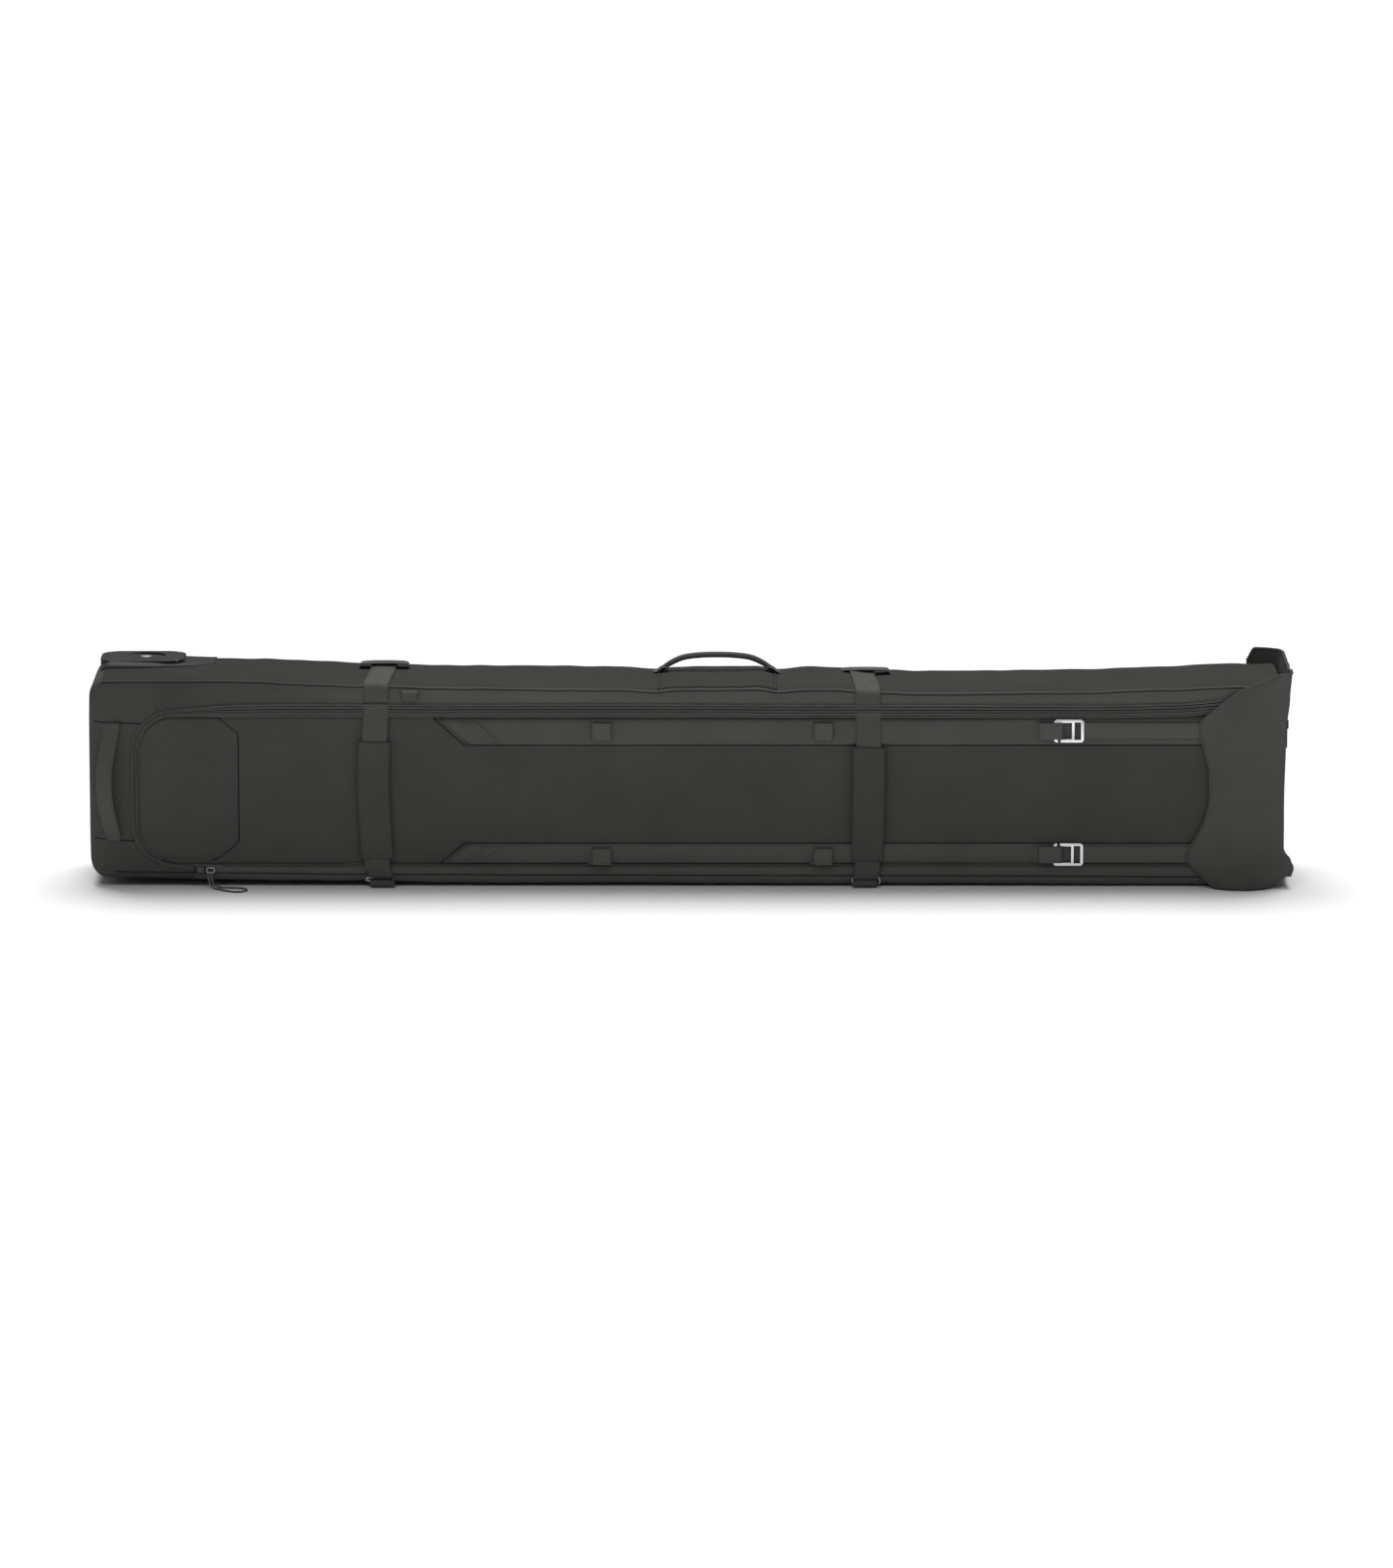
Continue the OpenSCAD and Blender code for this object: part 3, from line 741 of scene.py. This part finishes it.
def band_end(label, low, high, low_left, high_left):
    """The seam's painted-shade line, the piping and the webbing patch at the slanted end of a band."""
    upper = label == "upper"
    inner, outer = (low, high) if upper else (high, low)
    x_in, x_out = (low_left, high_left) if upper else (high_left, low_left)
    hang = 1 if upper else -1
    seam_shade_line(f"band_seam_{label}", [(x_out, outer), (x_in, inner), (x_in + 0.05, inner), (LID_END, inner)],
           turn=True)
    seam_ridge(f"band_end_piping_{label}", [(x_out + 0.0065, outer), (x_in + 0.0065, inner)], 0.0058, 0.0018,
               turn=True, material=BORDER)

    def corners(u, v):
        w = v if upper else 1 - v
        return (x_out + 0.032 + 0.034 * u + (x_in - x_out) * w * 0.9,
                outer - hang * 0.0020 - (outer - inner - hang * 0.0040) * w)
    patch = front_patch(f"band_end_patch_{label}", corners, lambda u, v: 0.0062, WEB_X, 12, 12)
    turning(patch)


def stitched(name, path, lift, turn=False):
    obj = stitch_line(name, path, lift)
    return turning(obj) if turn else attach(obj, "root")


# ---- zip
def zip_path():
    cx = LID_LEFT + LID_R
    r = LID_R - 0.003
    path = [(-0.712, 0.0290), (-0.735, 0.0300), (-0.752, 0.0325)]
    path += arc(cx, HINGE_Z + LID_R, r, 262, 180)
    path += arc(cx, LID_TOP - LID_R + 0.001, r, 180, 92)
    path += [(-0.70, 0.2690), (-0.60, 0.2702), (-0.35, 0.2694), (-0.10, 0.2700), (0.15, 0.2694),
             (0.40, 0.2690), (0.62, 0.2680), (0.75, 0.2710), (0.825, 0.2780)]
    return path


ZIP_HALF = [(0.0002, -0.0012), (0.0002, 0.0030), (0.0010, 0.0042), (0.0018, 0.0036), (0.0023, 0.0006),
            (0.0028, 0.0006), (0.0034, 0.0030), (0.0048, 0.0036), (0.0060, 0.0026), (0.0065, 0.0008),
            (0.0070, 0.0014), (0.0080, 0.0032), (0.0096, 0.0028), (0.0104, 0.0006), (0.0106, -0.0012)]


def zip_width(p):
    """The closed zip shows its full width along the top and only its edge round the wheel end."""
    return 0.50 + 0.50 * clamp((p.x + 0.775) / 0.10, 0, 1) * clamp((p.y - 0.2) / 0.03, 0, 1)


def offset_path(path, d):
    """The line of points moved sideways by d."""
    line = resample([Vector((x, z, 0)) for x, z in path], 0.006)
    out = []
    for i, p in enumerate(line):
        t = (line[min(i + 1, len(line) - 1)] - line[max(i - 1, 0)]).normalized()
        out.append((p.x - t.y * d, p.y + t.x * d))
    return out


def zips():
    path = zip_path()
    # The zip's valley faces get painted shade.
    outer = strip_on_front("zip_body_tape", path, ZIP_HALF, TAPE, 0.004, zip_width, (0, 3, 4, 8, 9, 13))
    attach(dress(outer, "zip_tape", "zip_body_side"), "root")
    inner = strip_on_front("zip_lid_tape", path[5:], [(-s, h) for s, h in ZIP_HALF], TAPE, 0.004,
                           zip_width, (3, 4, 8, 9, 12, 13))
    turning(dress(inner, "zip_tape", "zip_lid_side"))
    run = [p for p in path if p[1] > 0.25 and p[0] > -0.76]
    stitched("zip_stitching_upper", offset_path(run, 0.0088), lift=0.0032)
    stitched("zip_stitching_lower", offset_path(run, -0.0088), lift=0.0032, turn=True)


def seam_ridge(name, points, height=0.0009, half=0.0022, turn=False, material=SHELL):
    """A sewn seam: two low lips with a groove between them."""
    profile = [(half * 1.3, -0.0006), (half * 0.8, height), (half * 0.25, height * 0.6), (0, -0.0004),
               (-half * 0.25, height * 0.6), (-half * 0.8, height), (-half * 1.3, -0.0006),
               (0, -0.0012)]
    obj = strip_on_front(name, points, profile, material, 0.006)
    return turning(obj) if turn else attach(obj, "root")


def edge_seam(name, place):
    """A seam along the bag; place(x, offset, lift) is the surface beside it."""
    height, half = 0.0011, 0.0024
    x0, x1 = -0.872, 0.845
    xs = [x0 + (x1 - x0) * k / 300 for k in range(301)]
    profile = [(half * 1.3, -0.0006), (half * 0.7, height), (0.0003, height * 0.5), (0, -0.0005),
               (-0.0003, height * 0.5), (-half * 0.7, height), (-half * 1.3, -0.0006), (0, -0.0012)]
    # This seam on the top takes the painted-shade copy of the shell fabric.
    obj = sweep(name, [[place(x, s, h) for s, h in profile] for x in xs], LEVEL_CLOTH_PAINTED_SHADE)
    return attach(obj, "root")


# ---- straps
def strap_centre(which, t):
    """Where the middle of a compression strap runs, up the front (0 to 1) and on round the bag."""
    lines = {"a": [(0.0, -0.458), (0.1, -0.466), (0.5, -0.471), (1.0, -0.466), (2.0, -0.459), (4.0, -0.462)],
             "b": [(0.0, 0.270), (0.1, 0.274), (0.6, 0.276), (1.0, 0.274), (2.0, 0.267), (4.0, 0.271)]}
    return along(lines[which], t)


def band_round(name, which, ts, width, height, material, thick=0.0018):
    """Webbing laid round the bag; ts are places round the section, height its standing off at each."""
    half = width / 2
    rings = []
    for t in ts:
        x0 = strap_centre(which, t)
        h = height(t)
        ring = [rim_point(x0 + half * (1 - k / 4), t, h + thick) for k in range(9)]
        ring += [rim_point(x0 - half * (1 - k / 4), t, h) for k in range(9)]
        rings.append(ring)
    return sweep(name, rings, material)


def steps(a, b, n):
    return [a + (b - a) * k / n for k in range(n + 1)]


def compression_strap(which):
    body = f"strap_{which}"
    wrap = band_round(f"{body}_wrap_webbing", which, steps(0.915, 3.98, 200), STRAP_W,
                      lambda t: 0.0001 + 0.0036 * dome(t, 1.80, 0.14), WEB_X)
    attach(dress(wrap, "webbing", f"{body}_wrap"), "root")
    run = band_round(f"{body}_front_webbing", which, steps(0.030, STRAP_TOP, 90), STRAP_W,
                     lambda t: (0.0002 + 0.0046 * clamp((STRAP_TOP - t) / 0.12, 0, 1)
                                - 0.0008 * dome(t, 0, 0.1)), WEB_X)
    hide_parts(f"{body}_front")
    sleeve = band_round(f"{body}_sleeve_cover", which, steps(0.125, 0.715, 50), SLEEVE_W,
                        lambda t: 0.0052, SLEEVE, 0.0030)
    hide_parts(f"{body}_sleeve")
    hx = strap_centre(which, 0.05)
    ring = [(0.019, 0.0035), (0.0205, 0.0055), (0.0205, 0.0125), (0.019, 0.0145)]    # right half of the hook
    ring = [(0.0, 0.0035), *ring, (0.0, 0.0145), *((-a, b) for a, b in ring[::-1]), (0.0, 0.0035)]
    hook_line = [front(hx + a, b, 0.0028) for a, b in ring]
    hook = tube(f"{body}_hook_ring", hook_line, 0.0013, ALUMINIUM, 10)
    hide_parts(f"{body}_hook")
    loose = [run, sleeve, hook]
    cx = strap_centre(which, 0.5)
    for side in (-1, 1):
        row = stitch_line(f"{body}_sleeve_stitch_{'left' if side < 0 else 'right'}",
                          [(cx + side * 0.0195, 0.042), (cx + side * 0.0195, 0.216)], 0.0072)
        loose.append(row)
    for piece in loose:
        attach(piece, body)
        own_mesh(piece)


def ring_band(name, path, across, half_width, thick, material):
    """A band of webbing along a line of points; across is the direction of its width."""
    pts = [Vector(p) for p in path]
    side = Vector(across).normalized()
    rings = []
    for i, p in enumerate(pts):
        a, b = pts[max(i - 1, 0)], pts[min(i + 1, len(pts) - 1)]
        n = (b - a).normalized().cross(side).normalized()
        h = thick / 2
        w = half_width
        ring = [p + side * s + n * d for s, d in (
            (w, h * 0.4), (w * 0.97, h), (w * 0.5, h * 1.08), (0, h * 1.1), (-w * 0.5, h * 1.08),
            (-w * 0.97, h), (-w, h * 0.4), (-w, -h * 0.4), (-w * 0.97, -h), (0, -h), (w * 0.97, -h),
            (w, -h * 0.4))]
        rings.append(ring)
    return sweep(name, rings, material)


def sewn_loop(x, z, name, half=0.015):
    """A webbing loop standing off the front, flat sewn at both feet, open up and down."""
    depth, height = 0.0094, 0.0125
    base = front(x, z, 0.0026).y
    out = base - depth + 0.0008
    pts = [(x - half - 0.006, base), (x - half - 0.001, base), (x - half + 0.001, base - depth * 0.35),
           (x - half + 0.002, base - depth * 0.75), (x - half + 0.006, out), (x, out - 0.0004),
           (x + half - 0.006, out), (x + half - 0.002, base - depth * 0.75),
           (x + half - 0.001, base - depth * 0.35), (x + half - 0.0012, base + 0.0006)]
    line = spline([Vector((px, py, z)) for px, py in pts], 4)
    return ring_band(name, line, (0, 0, 1), height, 0.0016, WEB_Z)


# ---- flap and end cover
FOLD_Y = -0.1140
FOLD_LINE = [(0.0, 0.9130), (0.022, 0.9165), (0.038, 0.9120), (0.056, 0.9005), (0.160, 0.9000),
             (0.240, 0.9035), (0.290, 0.9085), (0.330, 0.9110)]
FLAP_EDGE = [(0.0015, 0.806), (0.008, 0.790), (0.041, 0.755), (0.053, 0.757), (0.065, 0.762),
             (0.080, 0.772), (0.098, 0.7815), (0.124, 0.789), (0.152, 0.7905), (0.180, 0.789),
             (0.203, 0.784), (0.228, 0.776), (0.250, 0.774), (0.256, 0.777), (0.281, 0.807),
             (0.301, 0.836), (0.316, 0.869), (0.330, 0.8975)]
WRAP = [(0.856, 0.1122), (0.868, 0.1132), (0.886, 0.1130), (0.897, 0.1085), (0.9025, 0.098),
        (0.9045, 0.070), (0.9050, 0.030), (0.9050, -0.020), (0.9042, -0.070), (0.9040, -0.096),
        (0.9035, -0.108)]
RIM = [(0.0, 0.311), (0.10, 0.3290), (0.30, 0.3275), (0.55, 0.3225), (0.80, 0.3270), (1.0, 0.3310)]


def straight(line, v):
    """Plain steps between the pairs of a line, without smoothing."""
    for (a, fa), (b, fb) in zip(line, line[1:]):
        if v <= b:
            return fa + (fb - fa) * (v - a) / (b - a)
    return line[-1][1]


def flap_point(u, z):
    """A point of the flap's front: u from the fold to the free edge."""
    left, fold = straight(FLAP_EDGE, z), along(FOLD_LINE, z)
    x = fold + (left - fold) * u
    z += 0.016 * clamp((x - 0.868) / 0.038, 0, 1) ** 1.5 * clamp((0.07 - z) / 0.07, 0, 1) ** 2
    flare = 0.030 * clamp((0.075 - z) / 0.075, 0, 1) ** 2 * dome(x, 0.835, 0.085)
    flare += 0.012 * clamp((z - 0.27) / 0.06, 0, 1) ** 2 * dome(x, 0.88, 0.05)
    slack = 0.0016 * noise.noise(Vector((x * 16, z * 11, 4.0))) + 0.003 * math.sin(math.pi * u) ** 2
    y = FOLD_Y - 0.0012 * min(u * 8, 1) - flare - slack * min(u * 5, 1)
    return Vector((x, y, z))


def wrap_point(s, v):
    i = s * (len(WRAP) - 1)
    k = min(int(i), len(WRAP) - 2)
    x = WRAP[k][0] + (WRAP[k + 1][0] - WRAP[k][0]) * (i - k)
    y = WRAP[k][1] + (WRAP[k + 1][1] - WRAP[k][1]) * (i - k)
    top_z = along(RIM, s)
    z = 0.0015 + (top_z - 0.0015) * v
    ear = 0.009 * (clamp((0.05 - z) / 0.05, 0, 1) ** 2 + clamp((z - 0.29) / 0.04, 0, 1) ** 2)
    out = ear * clamp(s * 2.5, 0, 1) * (1 - clamp((s - 0.55) / 0.4, 0, 1))
    out += 0.0015 * noise.noise(Vector((y * 18, z * 14, 9)))
    shift = (along(FOLD_LINE, z) - 0.9035) * clamp((s - 0.5) / 0.5, 0, 1) ** 2
    z += 0.016 * clamp((s - 0.15) / 0.35, 0, 1) ** 2 * clamp((0.07 - z) / 0.07, 0, 1) ** 2
    return Vector((x + out * clamp((x - 0.86) / 0.03, 0, 1) + shift, y, z))


def folding(obj):
    """For fabric that is fast to the end cover and turns with the flap; this only bakes the transform into
    the mesh.
    """
    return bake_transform(obj)


def flap():
    rows_v, wrap_n, flap_n = 72, 40, 44
    columns = []
    for k in range(wrap_n + 1):
        columns.append([wrap_point(k / wrap_n, i / rows_v) for i in range(rows_v + 1)])
    for k in range(0, flap_n + 1):
        column = []
        for i in range(rows_v + 1):
            z = 0.0015 + (0.3285 - 0.0015) * i / rows_v
            column.append(flap_point(k / flap_n, z))
        columns.append(column)
    verts = [p for c in columns for p in c]
    obj = finish_mesh("end_cover_and_flap", verts, grid_faces(len(columns), rows_v + 1), FLAP)
    thicken(obj, 0.0018)
    folding(dress(obj, "shell_fabric", "end_cover_wrap", "flap_panel"))
    edge = [flap_point(1.0, 0.0025 + 0.325 * k / 90) for k in range(91)]
    top_edge = [flap_point(1 - k / 10, 0.3275) for k in range(11)]
    rim = [wrap_point(1 - k / 60, 1.0) for k in range(61)]
    binding = tube("flap_edge_binding", spline(edge[:-1], 2), 0.0028, WEB_X, 8, 0.62)
    folding(dress(binding, "webbing", "flap_binding"))
    rim_binding = tube("cover_rim_binding", spline(top_edge[-2:] + rim, 2), 0.0026, WEB_X, 8, 0.62)
    folding(rim_binding)


# ---- handles
def top_handle():
    pts = [(-0.0420, 0.3020), (-0.036, 0.3065), (-0.022, 0.3160), (-0.004, 0.3238), (0.020, 0.3272),
           (0.047, 0.3280), (0.074, 0.3272), (0.098, 0.3238), (0.116, 0.3160), (0.130, 0.3065),
           (0.1360, 0.3020)]
    line = spline([Vector((x, HANDLE_Y, z)) for x, z in pts], 5)
    grip = tube("top_handle_roll", line, lambda t: 0.0050 - 0.0014 * (1 - dome(t, 0.5, 0.52)) ** 4, HANDLE,
                18, 0.9)
    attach(dress(grip, "webbing", "top_handle_grip"), "top_handle")
    cover = resample([(x, 0.0549, z) for x, z in pts[2:-2]], 0.0045)
    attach(stitch_row_along("top_handle_seam", cover), "top_handle")
    for side, name in ((-1, "left"), (1, "right")):
        cx = 0.047 + side * 0.0850
        rise = [(0.006, 0.3035), (0.0, 0.3078), (-0.006, 0.3100), (-0.010, 0.3070)]
        line = spline([top(cx + side * 0.012, HANDLE_Y, 0.0010),
                       *(Vector((cx + side * x, HANDLE_Y, z)) for x, z in rise)], 5)
        tab = ring_band(f"top_handle_tab_{name}", line, (0, 1, 0), 0.0125, 0.0015, WEB_Z)
        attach(tab, "root")
        if side < 0:
            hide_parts("top_handle_tabs")
    base_rows, base_low = [], []
    for i in range(61):
        x = -0.040 + 0.174 * i / 60
        edge = min(1, min(i, 60 - i) / 2.0)
        base_rows.append([top(x, -0.098 + 0.184 * k / 30, 0.0004 + 0.0009 * edge) for k in range(31)])
        base_low.append([top(x, -0.098 + 0.184 * k / 30, -0.004) for k in range(31)])
    # The base panel and its seams on the top take the painted-shade copy of the shell fabric.
    base = slab("top_handle_base_panel", base_rows, base_low, LEVEL_CLOTH_PAINTED_SHADE)
    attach(dress(base, "shell_fabric", "top_handle_base"), "root")
    for name, x in (("left", -0.041), ("right", 0.135)):
        lip = [top(x, -0.100 + 0.190 * k / 40, 0.0006) for k in range(41)]
        piece = tube(f"top_handle_base_seam_{name}", lip, 0.0020, LEVEL_CLOTH_PAINTED_SHADE, 8, 0.6)
        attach(piece, "root")


def stitch_row_along(name, points):
    verts, faces = [], []
    for a, b in zip(points, points[1:]):
        p, q = a.lerp(b, 0.15), a.lerp(b, 0.85)
        t = (q - p).normalized()
        u = Vector((0, 1, 0))
        v = t.cross(u).normalized()
        base = len(verts)
        for c, s in ((p, 0.5), (p.lerp(q, 0.5), 1), (q, 0.5)):
            verts += [c + (u * i + v * k) * 0.0006 * s for i, k in ((1, 0), (0, 1), (-1, 0), (0, -1))]
        faces += grid_faces(3, 4, True, base)
        faces += [(base, base + 1, base + 2, base + 3), (base + 11, base + 10, base + 9, base + 8)]
    return finish_mesh(name, verts, faces, THREAD)


def end_handle():
    pts = []
    for k in range(41):
        s = k / 40
        z = 0.252 - 0.180 * s
        rise = clamp((min(s, 1 - s) - 0.06) / 0.44, 0, 1)
        rise = math.sin(rise * math.pi / 2)
        base = front(-0.865, z, 0.0014)
        pts.append(base + Vector((-0.0115 * rise, -0.0165 * rise, 0)))
    grip = ring_band("end_handle_webbing", pts, (1, -0.25, 0), 0.0125, 0.0026, WEB_X)
    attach(dress(grip, "webbing", "end_handle"), "root")
    for z in (0.246, 0.078):
        stitched(f"end_handle_bartack_{round(z * 1000)}", [(-0.876, z), (-0.854, z)], lift=0.0032)
        seam_ridge(f"end_handle_seam_{round(z * 1000)}", [(-0.888, z + 0.004), (-0.846, z + 0.004)],
                   0.0005, 0.0012)


# ---- the keepers, tab and bottom anchors
def keepers():
    """The two bands on the top that the straps pass under."""
    rise = [(0.0375, -0.0005), (0.0360, 0.0040), (0.030, 0.0066)]     # half a keeper, from its foot
    arch = [(-x, z) for x, z in rise] + [(0.0, 0.0074)] + rise[::-1]
    for which, shift in (("a", 0.0), ("b", 0.006)):
        x0 = strap_centre(which, 2.0) + shift
        high = top(x0, KEEPER_Y, 0).z
        pts = [Vector((x0 + x, KEEPER_Y, high + z)) for x, z in arch]
        loop = ring_band(f"strap_keeper_{which}", spline(pts, 6), (0, 1, 0), 0.014, 0.0018, WEB_Z)
        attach(loop, "root")
        if which == "a":
            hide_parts("strap_keepers")


def anchors():
    for which in ("a", "b"):
        x0 = strap_centre(which, 0.0)
        y = -HALF_D
        pts = [(y + 0.004, 0.0030), (y - 0.004, 0.0026), (y - 0.0095, 0.0030), (y - 0.0105, 0.0065),
               (y - 0.0090, 0.0100), (y - 0.004, 0.0108), (y + 0.001, 0.0105)]
        loop = ring_band(f"strap_anchor_{which}", spline([Vector((x0, p, q)) for p, q in pts], 5),
                         (1, 0, 0), 0.0185, 0.0015, WEB_X)
        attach(loop, "root")
        if which == "a":
            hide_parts("strap_anchors")


# ---- wheels and housings
def plain_copy(node, material, body, slot, width):
    obj = bevelled_copy(node, material, width)
    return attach(obj, body)


def hardware():
    for which in ("upper", "lower"):
        plain_copy(f"wheel_housing_{which}", PLASTIC, "root", "moulded_plastic", 0.0025)
        plain_copy(f"tyre_{which}", RUBBER, f"wheel_{which}", "wheel_rubber", 0.0012)
        plain_copy(f"hub_{which}", HUB, f"wheel_{which}", "hub_plastic", 0.0006)
        plain_copy(f"bearings_{which}", STEEL, f"wheel_{which}", "steel", 0.0003)
        plain_copy(f"hook_{which}", ALUMINIUM, f"hook_{which}_body", "hook_aluminium", 0.0009)
    for row in (("axles", STEEL, "root", "steel", 0.0004),
                ("housing_fasteners", STEEL, "root", "steel", 0.0004),
                ("zip_slider", PLASTIC, "slider", "moulded_plastic", 0.0008),
                ("zip_ring", STEEL, "slider", "steel", 0.0005),
                ("end_zip_slider", PLASTIC, "root", "moulded_plastic", 0.0006),
                ("end_zip_pull", CORD, "end_pull", "cord", 0.0005),
                ("zip_garage", WEB_Z, "root", "webbing", 0.0003),
                ("frame_sheet", SHEET, "root", "frame_plastic", 0.0004)):
        plain_copy(*row)
    fold = spline([Vector((-0.4155, y, z)) for y, z in (
        (-0.1090, 0.3000), (-0.1140, 0.2992), (-0.1178, 0.2955), (-0.1180, 0.2905), (-0.1150, 0.2868),
        (-0.1105, 0.2865))], 5)
    tab = ring_band("corner_tab_loop", fold, (1, 0, 0), 0.0118, 0.0016, WEB_X)
    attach(dress(tab, "webbing", "corner_tab"), "root")


def pull_cord():
    line = spline([Vector(p) * MM for p in CORD_ROUTE], CORD_STEPS)
    obj = tube("pull_cord_line", line, CORD_D / 2, CORD, 12)
    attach(dress(obj, "cord", "pull_cord"), "slider")


# ---- the flap's own webbing
def flap_straps():
    for which, z in FLAP_STRAP_Z:
        line = [(0.5990, -0.1152)] + [(0.61 + 0.2 * k / 20, -0.1140) for k in range(21)]
        pts = [Vector((x, y, z)) for x, y in line]
        strap = ring_band(f"flap_strap_{which}_webbing", spline(pts, 2), (0, 0, 1), 0.0125, 0.0018, WEB_Z)
        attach(dress(strap, "webbing", f"flap_strap_{which}"), "flap")
    for name, z in FLAP_STRAP_Z:
        loop = sewn_loop(0.5495, z, f"engaged_loop_{name}", half=0.0185)
        if name == "upper":
            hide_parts("engaged_loops")
        turning(loop)
    for x, tag in ((-0.127, "near"), (0.207, "far")):
        for z, name in ((0.2395, "upper"), (0.0480, "lower")):
            loop = sewn_loop(x, z, f"gear_loop_{tag}_{name}")
            if tag == "near" and name == "upper":
                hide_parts("gear_loops")
            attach(loop, "lid")


PANEL_LOW, PANEL_TOP, PANEL_RIGHT = 0.0425, 0.2595, -0.674
PANEL_SLANT_LOW, PANEL_SLANT_TOP = 0.018, 0.284     # heights that its cut corners are measured on


def end_patch():
    """The reinforcing panel at the lid's wheel end, inside the zip's curve."""
    def corners(u, v):
        slant = PANEL_SLANT_LOW + (PANEL_SLANT_TOP - PANEL_SLANT_LOW) * v
        right = PANEL_RIGHT - 0.030 * clamp((slant - 0.255) / 0.03, 0, 1)
        right -= 0.030 * clamp((0.050 - slant) / 0.03, 0, 1)
        z = PANEL_LOW + (PANEL_TOP - PANEL_LOW) * v
        left = LID_LEFT + 0.010
        for _ in range(40):
            low, high = opening_span(left, 0.009)
            if low <= z <= high:
                break
            left += 0.0016
        return left + (right - left) * u, z
    obj = front_patch("lid_end_panel", corners, lambda u, v: 0.0010, PATCH, 60, 60)
    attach(dress(obj, "shell_fabric", "lid_end_patch"), "lid")


def seam_shade_line(name, path, turn=False, lid=False):
    """Painted shade in a sewn seam's gap, as a narrow dark strip."""
    obj = strip_on_front(name, path, [(0.0008, 0.0004), (0.0, 0.0012), (-0.0008, 0.0004), (0.0, -0.0010)],
                         GROOVE_SHADE, 0.006)
    if turn:
        return turning(obj)
    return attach(obj, "lid" if lid else "root")


def edge_seam_shade():
    """Painted shade along the seam at the front upper edge of the bag, as a narrow dark strip."""
    rings = []
    for k in range(321):
        x = -0.880 + 1.745 * k / 320
        _, high, deep = limits(x)
        rings.append([skin(x, -deep + 0.0035 + s, high - 0.0035 + s, lift)
                      for s, lift in ((0.0008, 0.0004), (0.0, 0.0009), (-0.0008, 0.0004), (0.0, -0.0015))])
    line = sweep("front_edge_seam_shade", rings, GROOVE_SHADE)
    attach(line, "root")


def housing_skirts():
    """The moulded flange that spreads from each wheel housing over the fabric."""
    for label, side in (("upper", 1), ("lower", -1)):
        rows, low = [], []
        for i in range(61):
            u = i / 60
            x = -0.888 + 0.172 * u
            row, under = [], []
            for k in range(25):
                v = k / 24
                y0 = -0.004 + 0.05 * u ** 3
                y = y0 + (0.1055 - y0) * v
                edge = min(1, min(i, 60 - i) / 5, min(k, 24 - k) / 3)
                lift = 0.0006 + (0.0085 * (1 - u ** 1.6)) * math.sqrt(edge)
                z = limits(x)[1] if side > 0 else limits(x)[0]
                row.append(Vector((x, y, max(z + side * lift, 0.0004))))
                under.append(Vector((x, y, z - side * 0.003)))
            rows.append(row)
            low.append(under)
        obj = slab(f"housing_flange_{label}", rows, low, PLASTIC)
        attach(obj, "root")


body_shell()
lid_shell()
zips()
for label, low, high, low_left, high_left in BANDS:
    band(f"front_band_{label}", low, high, low_left, high_left, LID_END, f"lid_band_{label}")
end_patch()
compression_strap("a")
compression_strap("b")
keepers()
anchors()
flap()
flap_straps()
top_handle()
end_handle()
hardware()
pull_cord()
seam_ridge("front_hinge_seam", [(-0.700, 0.0335), (-0.40, 0.0330), (0.0, 0.0328), (0.4, 0.0330),
                                (LID_END, 0.0325)])
edge_seam("upper_back_edge_seam", lambda x, s, h: skin(x, limits(x)[2] - 0.007 + s * 0.7,
                                                       limits(x)[1] - 0.007 - s * 0.7, h))
for label, low, high, low_left, high_left in BANDS:
    band_end(label, low, high, low_left, high_left)
seam_shade_line("border_seam_lower", [(-0.86, 0.0235), (-0.5, 0.0195), (0.0, 0.0180), (0.5, 0.0170),
                             (LID_END, 0.0150)])
seam_shade_line("wheel_end_seam_upper", [(-0.893, 0.2530), (-0.822, 0.2500)])
seam_shade_line("wheel_end_seam_lower", [(-0.893, 0.0745), (-0.822, 0.0700)])
seam_shade_line("end_panel_outline", [(-0.715, 0.262), (-0.706, 0.2600), (-0.6760, 0.2360), (-0.6740, 0.2320),
                             (-0.6740, 0.0720), (-0.6760, 0.0670), (-0.706, 0.0440), (-0.715, 0.0410)],
       lid=True)
edge_seam_shade()
housing_skirts()
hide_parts("front_end_bands")

# ---- floor, world and lights
floor_mesh = bpy.data.meshes.new("floor")
floor_mesh.from_pydata([(-60, -50, 0), (60, -50, 0), (60, 90, 0), (-60, 90, 0)], [], [(0, 1, 2, 3)])
floor = bpy.data.objects.new("floor", floor_mesh)
bpy.context.scene.collection.objects.link(floor)
floor_shader = Shader("floor_paper")
floor_shader.link(floor_shader.ramp(floor_shader.noise(2, 2), 0.3, 0.7, (0.93,) * 3, (0.94,) * 3),
                  floor_shader.bsdf.inputs["Base Color"])
floor_shader.set(Roughness=0.9, Specular_IOR_Level=0.1)
floor_mesh.materials.append(floor_shader.mat)

world = bpy.data.worlds.new("studio")
world.use_nodes = True
world.node_tree.nodes["Background"].inputs["Color"].default_value = (1, 1, 1, 1)
world.node_tree.nodes["Background"].inputs["Strength"].default_value = 0.20
bpy.context.scene.world = world
area_light("front_light", (-0.6, -3.4, 3.6), (0, 0, 0.1), (3.5, 1.5), 36)
key = bpy.data.lights.new("overhead", "SUN")
key.energy = 3.05
key.angle = math.radians(44)
overhead = bpy.data.objects.new("overhead", key)
overhead.rotation_euler = (math.radians(-24), 0, 0)
bpy.context.scene.collection.objects.link(overhead)
bpy.context.scene.view_settings.view_transform = "Standard"
